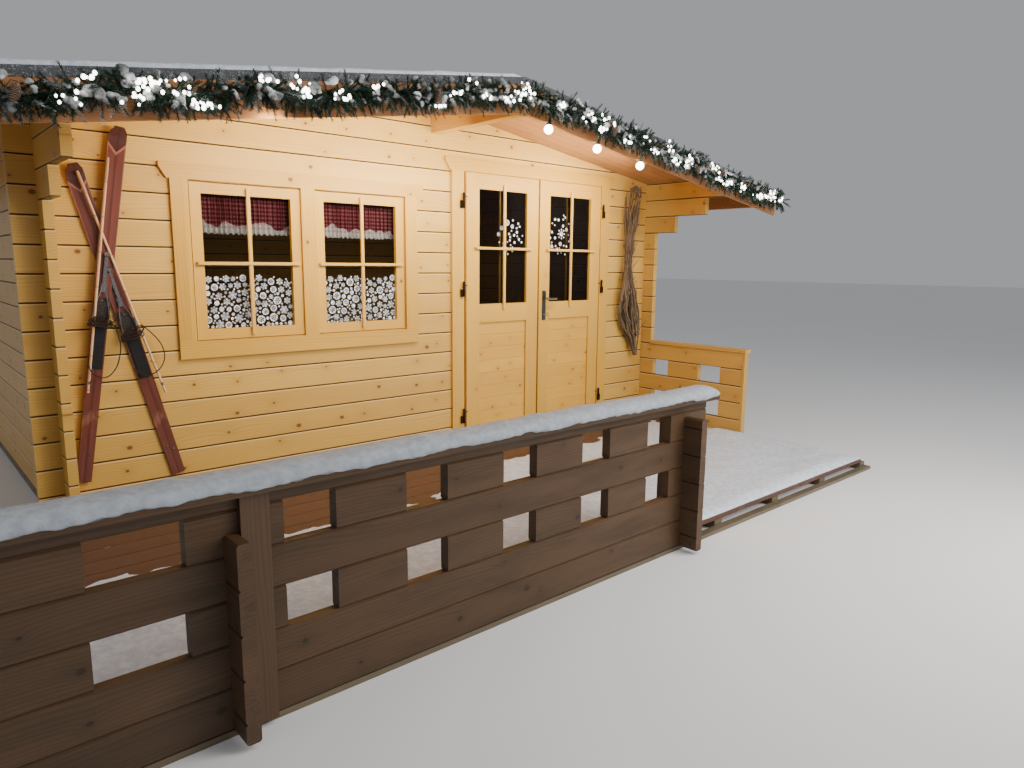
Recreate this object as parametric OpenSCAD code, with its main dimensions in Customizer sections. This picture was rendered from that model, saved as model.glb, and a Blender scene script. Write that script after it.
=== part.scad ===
// Log-built market hut with a low gable roof, a double window, a double door and a railed terrace.
// The front wall faces -Y, +X runs along it to the right, and +Z is up.
// The origin is the middle of the hut's floor plan, on the level ground under the bearers.

/* [Hut] */
// Width of the hut over the outer faces of its side walls
hut_w = 4480; // [4200:10:5200]
// Depth of the hut over the outer faces of its front and back walls
hut_d = 3000; // [2600:10:4200]
// Height of the ground bearers
bearer_h = 45; // [38:1:80]
// Width of the ground bearers
bearer_w = 70; // [50:1:100]
// Rows of ground bearers along the hut's width
bearer_rows = 5; // [4:1:7]
// Thickness of the floor boards
floor_t = 19; // [16:1:28]
// Width of a floor board
floor_board_w = 121; // [90:1:146]
// Width of the groove at a joint between boards
groove_w = 5.6; // [3:0.1:8]

/* [Logs] */
// Thickness of a wall log
log_t = 44; // [34:1:60]
// Height of one course of logs
log_h = 134; // [120:1:150]
// Depth of the bevel along a log's edges
bevel = 6; // [3:0.5:9]
// Number of courses in a side wall
side_courses = 15; // [14:1:17]
// Length of a log's end past a crossing
log_end = 110; // [80:1:160]

/* [Roof] */
// Pitch of the roof
roof_pitch = 8.5; // [5:0.5:15]
// Overhang of the roof past each side wall
side_overhang = 560; // [400:10:700]
// Overhang of the roof past the front wall, to the face of the fascia
front_overhang = 857; // [700:1:1000]
// Overhang of the roof past the back wall, to the face of the fascia
back_overhang = 260; // [200:1:500]
// Thickness of the roof boards
roof_board_t = 18; // [16:1:24]
// Thickness of the roofing felt
felt_t = 4; // [3:0.5:8]
// Height of the felt that is turned down over the roof's edges
felt_lip = 35; // [20:1:60]
// Thickness of a fascia board
fascia_t = 20; // [16:1:28]
// Height of a fascia board, measured plumb
fascia_h = 190; // [150:1:240]
// Height of the boards along the eaves
eaves_h = 120; // [90:1:160]
// Width of the ridge purlin
purlin_w = 70; // [58:1:90]
// Height of the ridge purlin
purlin_h = 178; // [140:1:200]
// Setback of the second corbel's end behind the fascia
corbel_step = 240; // [180:1:300]
// Further setback of the lowest corbel's end
corbel_low_step = 290; // [200:1:340]

/* [Window] */
// Distance from the hut's left side to the window's opening
window_inset = 668; // [600:1:760]
// Height of the sashes' lower edge above the first log
sash_z = 920; // [850:1:1000]
// Width of one sash
sash_w = 609; // [560:1:640]
// Height of a sash
sash_h = 826; // [700:1:840]
// Thickness of a sash
sash_t = 38; // [30:1:44]
// Width of the sash's own frame members
sash_frame = 57; // [45:1:70]
// Width of the mullion between the sashes
mullion_w = 90; // [70:1:110]
// Clearance around a sash
sash_gap = 4; // [2:1:6]
// Distance that the sashes stand proud of the wall
sash_proud = 4; // [2:1:8]

/* [Door] */
// Width of the wall between the window's opening and the doorway
pier = 486; // [430:1:560]
// Width of one leaf
leaf_w = 675; // [600:1:680]
// Height of the leaves' top above the first log
leaf_top = 1948; // [1850:1:1960]
// Thickness of a leaf
leaf_t = 40; // [36:1:44]
// Width of a leaf's stiles
stile_w = 113; // [90:1:130]
// Height of the top rail
top_rail = 103; // [80:1:130]
// Height of the bottom rail
bottom_rail = 150; // [110:1:200]
// Height of the middle rail's lower edge above the first log
mid_rail_z = 928; // [850:1:1000]
// Height of the middle rail
mid_rail = 129; // [90:1:150]
// Thickness of the tongue and groove panel
panel_t = 16; // [12:1:22]
// Clearance around the leaves
leaf_gap = 5; // [5:0.5:8]
// Clearance between the two leaves
meeting_gap = 9; // [8:0.5:12]
// Distance that the leaves stand proud of the wall
leaf_proud = 24; // [23:1:28]
// Width of the bead along a leaf's meeting edge
bead_w = 20; // [14:1:26]
// Thickness of the bead
bead_t = 8; // [5:1:12]
// Boards in the panel of a leaf
panel_boards = 8; // [6:1:10]
// Height of the threshold
threshold_h = 40; // [30:1:50]

/* [Joinery] */
// Thickness of the frames that line the wall's cut-outs
jamb_t = 30; // [25:1:35]
// Depth of the frames behind the wall's inner face
jamb_inside = 12; // [8:1:20]
// Width of a door stop
stop_w = 18; // [15:1:24]
// Thickness of the casing boards
casing_t = 18; // [14:1:20]
// Width of the casing boards around the window
casing_w = 88; // [75:1:100]
// Width of the casing boards beside the door
door_casing_w = 99; // [80:1:110]
// Distance from the doorway's edge to the casing beside it
casing_reveal = 12; // [5:1:16]
// Height of the casings' head boards
casing_head = 80; // [65:1:100]
// Length of the horns of a head board
horn = 50; // [30:1:60]
// Thickness of the glass
glass_t = 4; // [3:1:6]
// Depth of the rebates that hold glass and panels
rebate = 8; // [6:1:12]

/* [Hinges and handle] */
// Radius of a hinge knuckle
knuckle_r = 8; // [6:0.5:9]
// Height of a hinge over both knuckles
hinge_h = 104; // [80:2:130]
// Radius of a hinge pin
pin_r = 4; // [3:0.5:5]
// Distance from the leaf's edge to the hinge pin's axis
pin_side = 28; // [24:0.5:32]
// Thickness of the hinge straps
strap_t = 2; // [1.5:0.5:4]
// Reach of a hinge strap over the leaf's face
strap_l = 34; // [24:1:50]
// Width of the block that holds a hinge on the casing
hinge_block = 22; // [16:1:30]
// Gap between the two knuckles of a hinge
knuckle_gap = 1; // [0.5:0.5:2]
// Clearance around a hinge pin
pin_clearance = 0.1; // [0.05:0.05:0.3]
// Heights of the hinges' middles above the first log
hinge_low = 275; // [200:1:400]
// Height of the middle hinge
hinge_mid = 1165; // [1000:1:1300]
// Height of the upper hinge
hinge_high = 1760; // [1700:1:1850]
// Height of the lever's axis above the first log
lever_z = 1082; // [1000:1:1150]
// Distance from the leaf's meeting edge to the lever's axis
lever_inset = 59; // [45:1:75]
// Length of the lever
lever_l = 90; // [80:1:130]
// Radius of the lever
lever_r = 9; // [7:0.5:11]
// Distance from the leaf's face to the lever's axis
lever_out = 48; // [40:1:60]
// Radius of the lever's spindle
spindle_r = 6; // [4:0.5:7]
// Clearance around the spindle
spindle_gap = 1; // [0.5:0.5:2]
// Height of the handle's back plate
plate_h = 222; // [180:1:290]
// Distance from the lever's axis to the plate's top
plate_above = 59; // [40:1:90]
// Width of the handle's back plate
plate_w = 38; // [30:1:45]
// Thickness of the handle's back plate
plate_t = 3; // [2:0.5:5]

/* [Terrace] */
// Distance from the front wall to the outer face of the front railing
terrace_d = 2016; // [1800:1:2400]
// Number of joists under the deck
joist_count = 10; // [7:1:14]
// Thickness of the deck boards
deck_t = 28; // [22:1:34]
// Width of a deck board
deck_board_w = 138; // [110:1:150]
// Gap between deck boards
deck_gap = 6; // [5:1:10]
// Height of the sill under the front railing
rail_sill_h = 20; // [15:1:40]
// Courses in the front railing, under its top strip
rail_courses = 5; // [5:2:5]
// Height of the strip over the front railing's uppermost blocks
rail_strip_h = 47; // [40:1:60]
// Distance from the front railing's right end to the doorway
rail_to_door = 53; // [40:1:130]
// Distance from the railing's right end to the crossing stub
rail_end = 133; // [60:1:150]
// Distance from the hut's left side to the crossing stub in front of it
stub_inset = 50; // [0:1:80]
// Width of an opening in the front railing
gap_w = 172; // [140:1:190]
// Distance from one opening in the front railing to the next
gap_pitch = 433; // [400:1:450]
// Distance from the crossing stub to the last opening
gap_inset = 106; // [80:1:200]
// Openings in the main stretch of the front railing
gap_count = 5; // [4:1:5]
// Width of an opening in the left bay
bay_gap_w = 244; // [200:1:260]
// Distance from a crossing stub to the first opening in the left bay
bay_inset = 101; // [40:1:120]
// Width of the block between the openings in the left bay
bay_block = 265; // [200:1:300]
// Reach of the stubs in front of and behind the railing
stub_reach = 100; // [80:1:120]
// Height of the right stub over the other stubs
stub_rise = 45; // [0:1:60]
// Thickness of the railings' cap boards
cap_t = 28; // [22:1:34]
// Width of the front railing's cap board
cap_w = 135; // [110:1:150]
// Overhang of the front railing's cap board at each end
cap_over = 45; // [20:1:70]
// Width of the side railing's cap board
side_cap_w = 75; // [60:1:120]
// Overhang of the side railing's cap board at its end
side_cap_over = 10; // [5:1:30]
// Courses in the side railing
side_rail_courses = 5; // [5:2:7]
// Length of the side railing, from the wall's log ends
side_rail_l = 896; // [850:1:1000]
// Length of the side railing's first block
side_first_block = 34; // [30:1:50]
// Length of the side railing's first opening
side_gap_1 = 159; // [140:1:180]
// Length of the side railing's middle block
side_block = 301; // [260:1:330]
// Length of the side railing's second opening
side_gap_2 = 207; // [180:1:230]
// Width of the upright board beside the left stub
end_board_w = 86; // [70:1:110]
// Width of the upright board on the side railing's end
side_end_w = 50; // [45:1:70]
// Thickness of the end boards of the railings
end_board_t = 22; // [16:1:28]

/* [Dressing] */
// Height of the fir garland on the fascia
garland_h = 171; // [140:1:173]
// Thickness of the fir garland
garland_t = 120; // [80:1:140]
// Distance from the roof's corner to the garland's end
garland_inset = 20; // [10:1:60]
// Radius of a hanging lamp
lamp_r = 27; // [20:1:32]
// Distance from the fascia's lower edge down to a lamp's middle
lamp_drop = 30; // [28:1:60]
// Distance from one hanging lamp to the next
lamp_pitch = 424; // [380:1:450]
// Distance from the first hanging lamp to the doorway's left edge
lamp_to_door = 32; // [0:1:80]
// Clearance between the wall and what hangs on it
wall_gap = 0.3; // [0.1:0.1:1]
// Length of the upper ski's straight part
ski_upper_l = 1645; // [1500:5:1680]
// Distance of the upper ski's tail from the hut's left side
ski_upper_x = 79; // [78:1:120]
// Height of the upper ski's tail above the first log
ski_upper_z = 255; // [200:1:300]
// Lean of the upper ski to the right
ski_upper_lean = 9.2; // [5:0.1:11]
// Length of the lower ski's straight part
ski_lower_l = 1520; // [1400:1:1540]
// Distance of the lower ski's tail from the hut's left side
ski_lower_x = 528; // [480:1:540]
// Height of the lower ski's tail above the first log
ski_lower_z = 217; // [180:1:300]
// Lean of the lower ski to the left
ski_lower_lean = 13.7; // [10:0.1:14]
// Width of a ski at its tail
ski_tail_w = 65; // [50:1:66]
// Width of a ski at its shovel
ski_w = 82; // [70:1:90]
// Width of a ski at its tip
ski_tip_w = 46; // [20:1:60]
// Thickness of a ski
ski_t = 14; // [10:1:20]
// Radius of the ski's curled tip
ski_tip_r = 130; // [100:1:160]
// Turn of the ski's curled tip
ski_tip_angle = 40; // [20:1:50]
// Radius of a ski pole
pole_r = 6; // [5:0.5:10]
// Length of a ski pole
pole_l = 1130; // [1000:5:1135]
// Distance of the left pole's foot from the hut's left side
pole_left_x = 126; // [100:1:160]
// Height of the left pole's foot above the first log
pole_left_z = 702; // [600:1:800]
// Lean of the left pole to the right
pole_left_lean = 8.6; // [5:0.1:10]
// Distance of the right pole's foot from the hut's left side
pole_right_x = 483; // [440:1:500]
// Height of the right pole's foot above the first log
pole_right_z = 663; // [600:1:800]
// Lean of the right pole to the left
pole_right_lean = 16.4; // [12:0.1:17]
// Drop of the short curtains
curtain_drop = 250; // [200:1:300]
// Thickness of the space that a curtain's folds fill
curtain_t = 24; // [16:1:30]
// Length of the bundle of twigs
twigs_l = 1415; // [1200:5:1450]
// Height of the twigs' upper ends above the first log
twigs_top = 1985; // [1900:1:2000]
// Width of the bundle, as a share of the wall between the door and the corner
twigs_share = 0.34; // [0.2:0.02:0.4]

/* [Hidden] */

pine = [0.87, 0.62, 0.3];
pine_pale = [0.9, 0.68, 0.38];
soffit_wood = [0.8, 0.5, 0.26];
weathered = [0.5, 0.36, 0.22];
deck_brown = [0.42, 0.25, 0.17];
ski_brown = [0.38, 0.13, 0.08];
felt_black = [0.14, 0.15, 0.18];
fir_green = [0.14, 0.22, 0.15];
steel = [0.62, 0.63, 0.65];
iron = [0.2, 0.19, 0.18];
clear_glass = [0.7, 0.8, 0.85, 0.35];
gingham_red = [0.65, 0.15, 0.17];

half_w = hut_w / 2;
front_y = -hut_d / 2;
back_y = hut_d / 2;
base_z = bearer_h;
wall_top = base_z + side_courses * log_h;
slope = tan(roof_pitch);
ridge_z = wall_top + half_w * slope;
roof_half = half_w + side_overhang;
fascia_front_y = front_y - front_overhang;
fascia_back_y = back_y + back_overhang;
roof_front_y = fascia_front_y + fascia_t;
roof_back_y = fascia_back_y - fascia_t;
roof_board_rise = roof_board_t / cos(roof_pitch);
felt_rise = felt_t / cos(roof_pitch);
split_z = base_z + (side_courses - 0.5) * log_h;
felt_seat = 0.02;
big = 9000;

// Height of the roof boards' underside over a point at distance x from the ridge.
function soffit_z(x) = ridge_z - abs(x) * slope;

// Heights of the joints between logs from low to high, the first of them at height first.
function joints(first, low, high) = [
  for (z = first; z < high - bevel; z = z + log_h) if (z > low + bevel) z
];

// Outline of a stack of bevelled logs, seen from its end: x across the logs, y up.
function stack_outline(low, high, zs) = concat(
  [[bevel, low], [0, low + bevel]],
  [for (z = zs) for (p = [[0, z - bevel], [bevel, z], [0, z + bevel]]) p],
  [[0, high - bevel], [bevel, high], [log_t - bevel, high], [log_t, high - bevel]],
  [for (i = [len(zs) - 1:-1:0]) for (p = [[0, bevel], [-bevel, 0], [0, -bevel]])
    [log_t + p[0], zs[i] + p[1]]],
  [[log_t, low + bevel], [log_t - bevel, low]]
);

// Logs that run along X, from x1 to x2, with their outer face at y.
module logs_x(x1, x2, y, low, high, first) {
  translate([x1, y, 0]) rotate([90, 0, 90])
    linear_extrude(x2 - x1) polygon(stack_outline(low, high, joints(first, low, high)));
}

// Logs that run along Y, from y1 to y2, with their left face at x.
module logs_y(y1, y2, x, low, high, first) {
  translate([x, y2, 0]) rotate([90, 0, 0])
    linear_extrude(y2 - y1) polygon(stack_outline(low, high, joints(first, low, high)));
}

// Half-course blocks in a crossing column: the part that the other wall's logs fill.
module notches(x, y, from_z, first, high) {
  for (z = [first:log_h:high])
    if (z + log_h / 2 > from_z)
      translate([x, y, max(z, from_z - 1)]) cube([log_t, log_t, z + log_h / 2 - max(z, from_z - 1)]);
}

// The notches that a wall along X leaves for the walls along Y.
module notches_in_x(x, y, low, high) notches(x, y, low, base_z + log_h / 4, high);

// The notches that a wall along Y leaves for the walls along X.
module notches_in_y(x, y, low, high) notches(x, y, low, base_z - log_h / 4, high);

// Everything under the roof boards.
module under_roof() {
  translate([0, hut_d, 0]) rotate([90, 0, 0]) linear_extrude(3 * hut_d)
    polygon([[-half_w * 2, -1], [half_w * 2, -1], [half_w * 2, soffit_z(half_w * 2)],
             [0, ridge_z], [-half_w * 2, soffit_z(half_w * 2)]]);
}

// A sloped layer of the roof between two heights over the soffit, on one side of the ridge.
module roof_layer(side, low, high, x_end, y1, y2) {
  translate([0, y2, 0]) rotate([90, 0, 0]) linear_extrude(y2 - y1)
    polygon([[0, ridge_z + low], [side * x_end, soffit_z(x_end) + low],
             [side * x_end, soffit_z(x_end) + high], [0, ridge_z + high]]);
}

// Ground bearers of the hut: five beams along X and two end beams along Y.
module floor_bearers() color(weathered) {
  for (i = [0:bearer_rows - 1])
    translate([-half_w + bearer_w, front_y + i * (hut_d - bearer_w) / (bearer_rows - 1), 0])
      cube([hut_w - 2 * bearer_w, bearer_w, bearer_h]);
  for (x = [-half_w, half_w - bearer_w])
    translate([x, front_y, 0]) cube([bearer_w, hut_d, bearer_h]);
}

// Floor boards inside the walls, with a groove at each joint.
module floor_boards() color(pine) difference() {
  translate([-half_w + log_t, front_y + log_t, base_z])
    cube([hut_w - 2 * log_t, hut_d - 2 * log_t, floor_t]);
  translate([doorway_x - jamb_t, front_y, base_z - 1])
    cube([door_clear + 2 * jamb_t, log_t + jamb_inside, floor_t + 2]);
  for (x = [-half_w + log_t + floor_board_w:floor_board_w:half_w - log_t - floor_board_w / 8])
    translate([x, front_y, base_z + floor_t]) rotate([-90, 0, 0]) groove(hut_d);
}

// A V-shaped groove along Z, with its middle on the face that it is cut in.
module groove(l) linear_extrude(l) rotate(45) square(groove_w / sqrt(2), center = true);

// Cut-outs in the front wall.
window_w = 2 * sash_w + mullion_w + 2 * sash_gap;
window_left = -half_w + window_inset;
window_x = window_left + window_w / 2;
window_low = base_z + sash_z - sash_gap;
window_high = base_z + sash_z + sash_h + sash_gap;
doorway_x = window_left + window_w + pier;
door_clear = 2 * leaf_w + 2 * leaf_gap + meeting_gap;
door_right = doorway_x + door_clear;
door_high = base_z + leaf_top + leaf_gap;

module window_cut() {
  translate([window_left - jamb_t, front_y - 1, window_low - jamb_t])
    cube([window_w + 2 * jamb_t, log_t + 2, window_high - window_low + 2 * jamb_t]);
}
module door_cut() {
  translate([doorway_x - jamb_t, front_y - 1, base_z - 1])
    cube([door_clear + 2 * jamb_t, log_t + 2, door_high + jamb_t - base_z + 1]);
}

// A front or back wall's logs, notched for both side walls.
module cross_wall(x1, x2, y, low, high) difference() {
  logs_x(x1, x2, y, low, high, base_z + log_h / 2);
  notches_in_x(-half_w, y, low, high);
  notches_in_x(half_w - log_t, y, low, high);
}

module ridge_cut() {
  translate([-purlin_w / 2, -big / 2, ridge_z - purlin_h]) cube([purlin_w, big, purlin_h + 1]);
}

module front_wall_left() color(pine) difference() {
  cross_wall(-half_w - log_end, doorway_x - jamb_t, front_y, base_z, split_z);
  window_cut();
}
module front_wall_right() color(pine)
  cross_wall(door_right + jamb_t, half_w + log_end, front_y, base_z, split_z);

module front_gable() color(pine) difference() {
  intersection() {
    cross_wall(-half_w - log_end, half_w + log_end, front_y, split_z, ridge_z);
    under_roof();
  }
  door_cut();
  ridge_cut();
}

module back_wall() color(pine) difference() {
  intersection() {
    cross_wall(-half_w - log_end, half_w + log_end, back_y - log_t, base_z, ridge_z);
    under_roof();
  }
  ridge_cut();
}

// A side wall's logs: its three uppermost courses step forward as corbels, up to the fascia.
module side_wall(x) intersection() {
  difference() {
    union() {
      logs_y(front_y - log_end, back_y + log_end, x, base_z, corbel_z(0), base_z + log_h);
      for (i = [0:2])
        logs_y(corbel_y(i), corbel_back_y(i), x, corbel_z(i), corbel_z(i + 1), base_z);
    }
    notches_in_y(x, front_y, base_z, ridge_z);
    notches_in_y(x, back_y - log_t, base_z, ridge_z);
  }
  under_roof();
}
function corbel_z(i) = i == 3 ? ridge_z : base_z + (side_courses - 3 + i) * log_h;
function corbel_back_y(i) = i == 2 ? roof_back_y : back_y + log_end;
function corbel_y(i) = roof_front_y + [corbel_step + corbel_low_step, corbel_step, 0][i];

module left_wall() color(pine) side_wall(-half_w);
module right_wall() color(pine) side_wall(half_w - log_t);

module ridge_purlin() color(pine) intersection() {
  translate([-purlin_w / 2, roof_front_y, ridge_z - purlin_h])
    cube([purlin_w, roof_back_y - roof_front_y, purlin_h]);
  under_roof();
}

module roof_boards(side)
  roof_layer(side, 0, roof_board_rise, roof_half - fascia_t, roof_front_y, roof_back_y);
module roof_boards_left() color(soffit_wood) roof_boards(-1);
module roof_boards_right() color(soffit_wood) roof_boards(1);

// Felt over both slopes, turned down over the fascias and the eaves.
module roof_felt() color(felt_black) difference() {
  for (side = [-1, 1])
    roof_layer(side, roof_board_rise - felt_lip, roof_board_rise + felt_rise, roof_half + felt_t,
               fascia_front_y - felt_t, fascia_back_y + felt_t);
  for (side = [-1, 1])
    roof_layer(side, -big / 4, roof_board_rise + felt_seat, roof_half, fascia_front_y, fascia_back_y);
}

// A fascia board in the shape of a low chevron, cut plumb at both ends.
module fascia(y) {
  translate([0, y + fascia_t, 0]) rotate([90, 0, 0]) linear_extrude(fascia_t)
    polygon([[-roof_half, soffit_z(roof_half) + roof_board_rise - fascia_h],
             [0, ridge_z + roof_board_rise - fascia_h],
             [roof_half, soffit_z(roof_half) + roof_board_rise - fascia_h],
             [roof_half, soffit_z(roof_half) + roof_board_rise],
             [0, ridge_z + roof_board_rise],
             [-roof_half, soffit_z(roof_half) + roof_board_rise]]);
}
module front_fascia() color(soffit_wood) fascia(fascia_front_y);
module back_fascia() color(soffit_wood) fascia(roof_back_y);

module eaves_boards() color(soffit_wood)
  for (side = [-1, 1]) difference() {
    roof_layer(side, roof_board_rise - eaves_h, roof_board_rise, roof_half, roof_front_y, roof_back_y);
    translate([side * (roof_half - fascia_t - big / 2) - big / 2, -big / 2, -1]) cube([big, big, big]);
  }

// A frame of four members around a clear opening, seen from the front.
module frame_xz(x, z, w, h, member, y1, y2) {
  translate([x, y1, z]) difference() {
    translate([-member, 0, -member]) cube([w + 2 * member, y2 - y1, h + 2 * member]);
    translate([0, -1, 0]) cube([w, y2 - y1 + 2, h]);
  }
}

// The window's lining, with its mullion and the stop that the sashes close against.
sash_y = front_y - sash_proud;
module window_frame() color(pine) {
  h = window_high - window_low;
  back = front_y + log_t + jamb_inside;
  frame_xz(window_left, window_low, window_w, h, jamb_t, front_y, back);
  translate([window_x - mullion_w / 2 + sash_gap, front_y, window_low])
    cube([mullion_w - 2 * sash_gap, back - front_y, h]);
  for (i = [0, 1])
    translate([window_left + i * (sash_w + mullion_w), sash_y + sash_t, window_low])
      difference() {
        cube([sash_w + 2 * sash_gap, back - sash_y - sash_t, h]);
        translate([stop_w, -1, stop_w])
          cube([sash_w + 2 * sash_gap - 2 * stop_w, jamb_inside + log_t, h - 2 * stop_w]);
      }
}

// A head board with slanted horns, in front of the wall.
module head_board(x1, x2, z, h) {
  translate([0, front_y, z]) rotate([90, 0, 0]) linear_extrude(casing_t)
    polygon([[x1 - horn * 0.3, 0], [x2 + horn * 0.3, 0], [x2 + horn, h * 0.7], [x2 + horn, h],
             [x1 - horn, h], [x1 - horn, h * 0.7]]);
}

module window_casing() color(pine_pale) {
  low = window_low - sash_gap;
  high = window_high + sash_gap;
  left = window_left - sash_gap;
  right = window_left + window_w + sash_gap;
  translate([0, front_y - casing_t, 0]) {
    for (x = [left - casing_w, right])
      translate([x, 0, low - casing_w]) cube([casing_w, casing_t, high - low + casing_w]);
    translate([left, 0, low - casing_w]) cube([right - left, casing_t, casing_w]);
    translate([window_x - mullion_w / 2 + sash_gap / 2, 0, low])
      cube([mullion_w - sash_gap, casing_t, high - low]);
  }
  head_board(left - casing_w, right + casing_w, high, casing_head);
}

// A framed light: four members with a rebate at the back that holds the glass.
module sash(x) {
  translate([x, sash_y, base_z + sash_z]) difference() {
    cube([sash_w, sash_t, sash_h]);
    translate([sash_frame, -1, sash_frame]) cube([light_w, sash_t + 2, light_h]);
    translate([sash_frame - rebate, sash_t - glass_t - rebate, sash_frame - rebate])
      cube([light_w + 2 * rebate, glass_t + rebate + 1, light_h + 2 * rebate]);
  }
}
light_w = sash_w - 2 * sash_frame;
light_h = sash_h - 2 * sash_frame;
sash_left_x = window_x - mullion_w / 2 - sash_w;
sash_right_x = window_x + mullion_w / 2;
module window_sash_left() color(pine_pale) sash(sash_left_x);
module window_sash_right() color(pine_pale) sash(sash_right_x);

module window_glass() color(clear_glass)
  for (x = [sash_left_x, sash_right_x])
    translate([x, sash_y + sash_t - glass_t - rebate, base_z + sash_z])
      translate([sash_frame - rebate, 0, sash_frame - rebate])
        cube([light_w + 2 * rebate, glass_t, light_h + 2 * rebate]);

// The doorway's lining, with the stop behind the leaves.
leaf_y = front_y - leaf_proud;
module door_frame() color(pine) {
  back = front_y + log_t + jamb_inside;
  stop_y = leaf_y + leaf_t + leaf_gap;
  low = base_z + threshold_h;
  difference() {
    translate([doorway_x - jamb_t, front_y, base_z])
      cube([door_clear + 2 * jamb_t, back - front_y, door_high + jamb_t - base_z]);
    translate([doorway_x, front_y - 1, base_z - 1])
      cube([door_clear, back - front_y + 2, low - base_z + 1]);
    translate([doorway_x, front_y - 1, low - 1])
      cube([door_clear, stop_y - front_y + 1, door_high - low + 1]);
    translate([doorway_x + stop_w, front_y - 1, low - 1])
      cube([door_clear - 2 * stop_w, back - front_y + 2, door_high - stop_w - low + 1]);
  }
}

module door_threshold() color(soffit_wood)
  translate([doorway_x, front_y, base_z]) cube([door_clear, log_t + jamb_inside, threshold_h]);

casing_left_x = doorway_x - casing_reveal - door_casing_w;
casing_right_x = door_right + casing_reveal;
module door_casing() color(pine_pale) {
  high = door_high + leaf_gap / 2;
  for (x = [casing_left_x, casing_right_x])
    translate([x, front_y - casing_t, base_z]) cube([door_casing_w, casing_t, high - base_z]);
  head_board(casing_left_x, casing_right_x + door_casing_w, high, casing_head);
}

// Pieces of one door leaf, seen from the front with its left edge at x.
leaf_low = base_z + threshold_h + leaf_gap;
leaf_high = base_z + leaf_top;
light_low = base_z + mid_rail_z + mid_rail;
light_high = leaf_high - top_rail;
panel_low = leaf_low + bottom_rail;
panel_high = base_z + mid_rail_z;
leaf_left_x = doorway_x + leaf_gap;
leaf_right_x = door_right - leaf_gap - leaf_w;
field_w = leaf_w - 2 * stile_w;
panel_y = leaf_y + (leaf_t - panel_t) / 2;

module leaf_frame(x) difference() {
  translate([x, leaf_y, leaf_low]) cube([leaf_w, leaf_t, leaf_high - leaf_low]);
  translate([x + stile_w, leaf_y - 1, light_low]) cube([field_w, leaf_t + 2, light_high - light_low]);
  translate([x + stile_w - rebate, leaf_y + leaf_t / 2, light_low - rebate])
    cube([field_w + 2 * rebate, leaf_t, light_high - light_low + 2 * rebate]);
  translate([x + stile_w, leaf_y - 1, panel_low]) cube([field_w, leaf_t + 2, panel_high - panel_low]);
  translate([x + stile_w - rebate, panel_y, panel_low - rebate])
    cube([field_w + 2 * rebate, panel_t, panel_high - panel_low + 2 * rebate]);
}

// The bead on a leaf's meeting edge, from x to the right.
module leaf_bead(x)
  translate([x, leaf_y - bead_t, leaf_low]) cube([bead_w, bead_t, leaf_high - leaf_low]);

// Boards of the lower panel: horizontal, with a groove at each joint on both faces.
module leaf_panel(x) difference() {
  translate([x + stile_w - rebate, panel_y, panel_low - rebate])
    cube([field_w + 2 * rebate, panel_t, panel_high - panel_low + 2 * rebate]);
  for (i = [1:panel_boards - 1]) for (dy = [0, panel_t])
    translate([x + stile_w, panel_y + dy, panel_low + i * (panel_high - panel_low) / panel_boards])
      rotate([90, 0, 90]) groove(field_w);
}

module leaf_glass(x)
  translate([x + stile_w - rebate, leaf_y + leaf_t / 2, light_low - rebate])
    cube([field_w + 2 * rebate, glass_t, light_high - light_low + 2 * rebate]);

// Hinges: the lower knuckle and the pin stay on the casing, the upper knuckle turns with the leaf.
hinge_heights = [hinge_low, hinge_mid, hinge_high];
pin_y = leaf_y - knuckle_r;
pin_left_x = leaf_left_x - pin_side;
pin_right_x = leaf_right_x + leaf_w + pin_side;
casing_face_gap = front_y - casing_t - pin_y;

module knuckle(low, high)
  translate([0, 0, low]) cylinder(r = knuckle_r, h = high - low, $fn = 48);

module casing_knuckles(x, side) for (z = hinge_heights) translate([x, pin_y, base_z + z]) {
  knuckle(-hinge_h / 2, -knuckle_gap / 2);
  translate([0, 0, -knuckle_gap]) cylinder(r = pin_r, h = hinge_h / 2 + 2 * knuckle_gap, $fn = 48);
  translate([side > 0 ? 0 : -hinge_block, 0, -hinge_h / 2])
    cube([hinge_block, casing_face_gap, hinge_h / 2 - knuckle_gap]);
}

module leaf_knuckles(x, side) for (z = hinge_heights) translate([x, pin_y, base_z + z]) {
  difference() {
    union() {
      knuckle(knuckle_gap / 2, hinge_h / 2);
      translate([side > 0 ? -pin_side - strap_l : 0, knuckle_r - strap_t, knuckle_gap])
        cube([pin_side + strap_l, strap_t, hinge_h / 2 - knuckle_gap]);
    }
    translate([0, 0, -1]) cylinder(r = pin_r + pin_clearance, h = hinge_h / 2 + 2, $fn = 48);
  }
}

module door_hinge_pins() color(iron) {
  casing_knuckles(pin_left_x, -1);
  casing_knuckles(pin_right_x, 1);
}
module door_left_frame() color(pine_pale) leaf_frame(leaf_left_x);
module door_left_panel() color(pine) leaf_panel(leaf_left_x);
module door_left_glass() color(clear_glass) leaf_glass(leaf_left_x);
module door_left_hinges() color(iron) leaf_knuckles(pin_left_x, -1);
module door_right_frame() color(pine_pale) difference() {
  union() {
    leaf_frame(leaf_right_x);
    leaf_bead(leaf_right_x);
  }
  spindle_hole(leaf_y, leaf_t);
}
module door_right_panel() color(pine) leaf_panel(leaf_right_x);
module door_right_glass() color(clear_glass) leaf_glass(leaf_right_x);
module door_right_hinges() color(iron) leaf_knuckles(pin_right_x, 1);

// Handle: back plates on both faces of the right leaf, and levers on one spindle.
lever_x = leaf_right_x + lever_inset;
lever_axis_z = base_z + lever_z;

module spindle_hole(y, depth)
  translate([lever_x, y - 1, lever_axis_z]) rotate([-90, 0, 0])
    cylinder(r = spindle_r + spindle_gap, h = depth + 2, $fn = 48);

module door_handle_plates() color(steel)
  for (y = [leaf_y - plate_t, leaf_y + leaf_t]) difference() {
    translate([lever_x - plate_w / 2, y, lever_axis_z + plate_above - plate_h])
      cube([plate_w, plate_t, plate_h]);
    spindle_hole(y, plate_t);
  }

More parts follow.
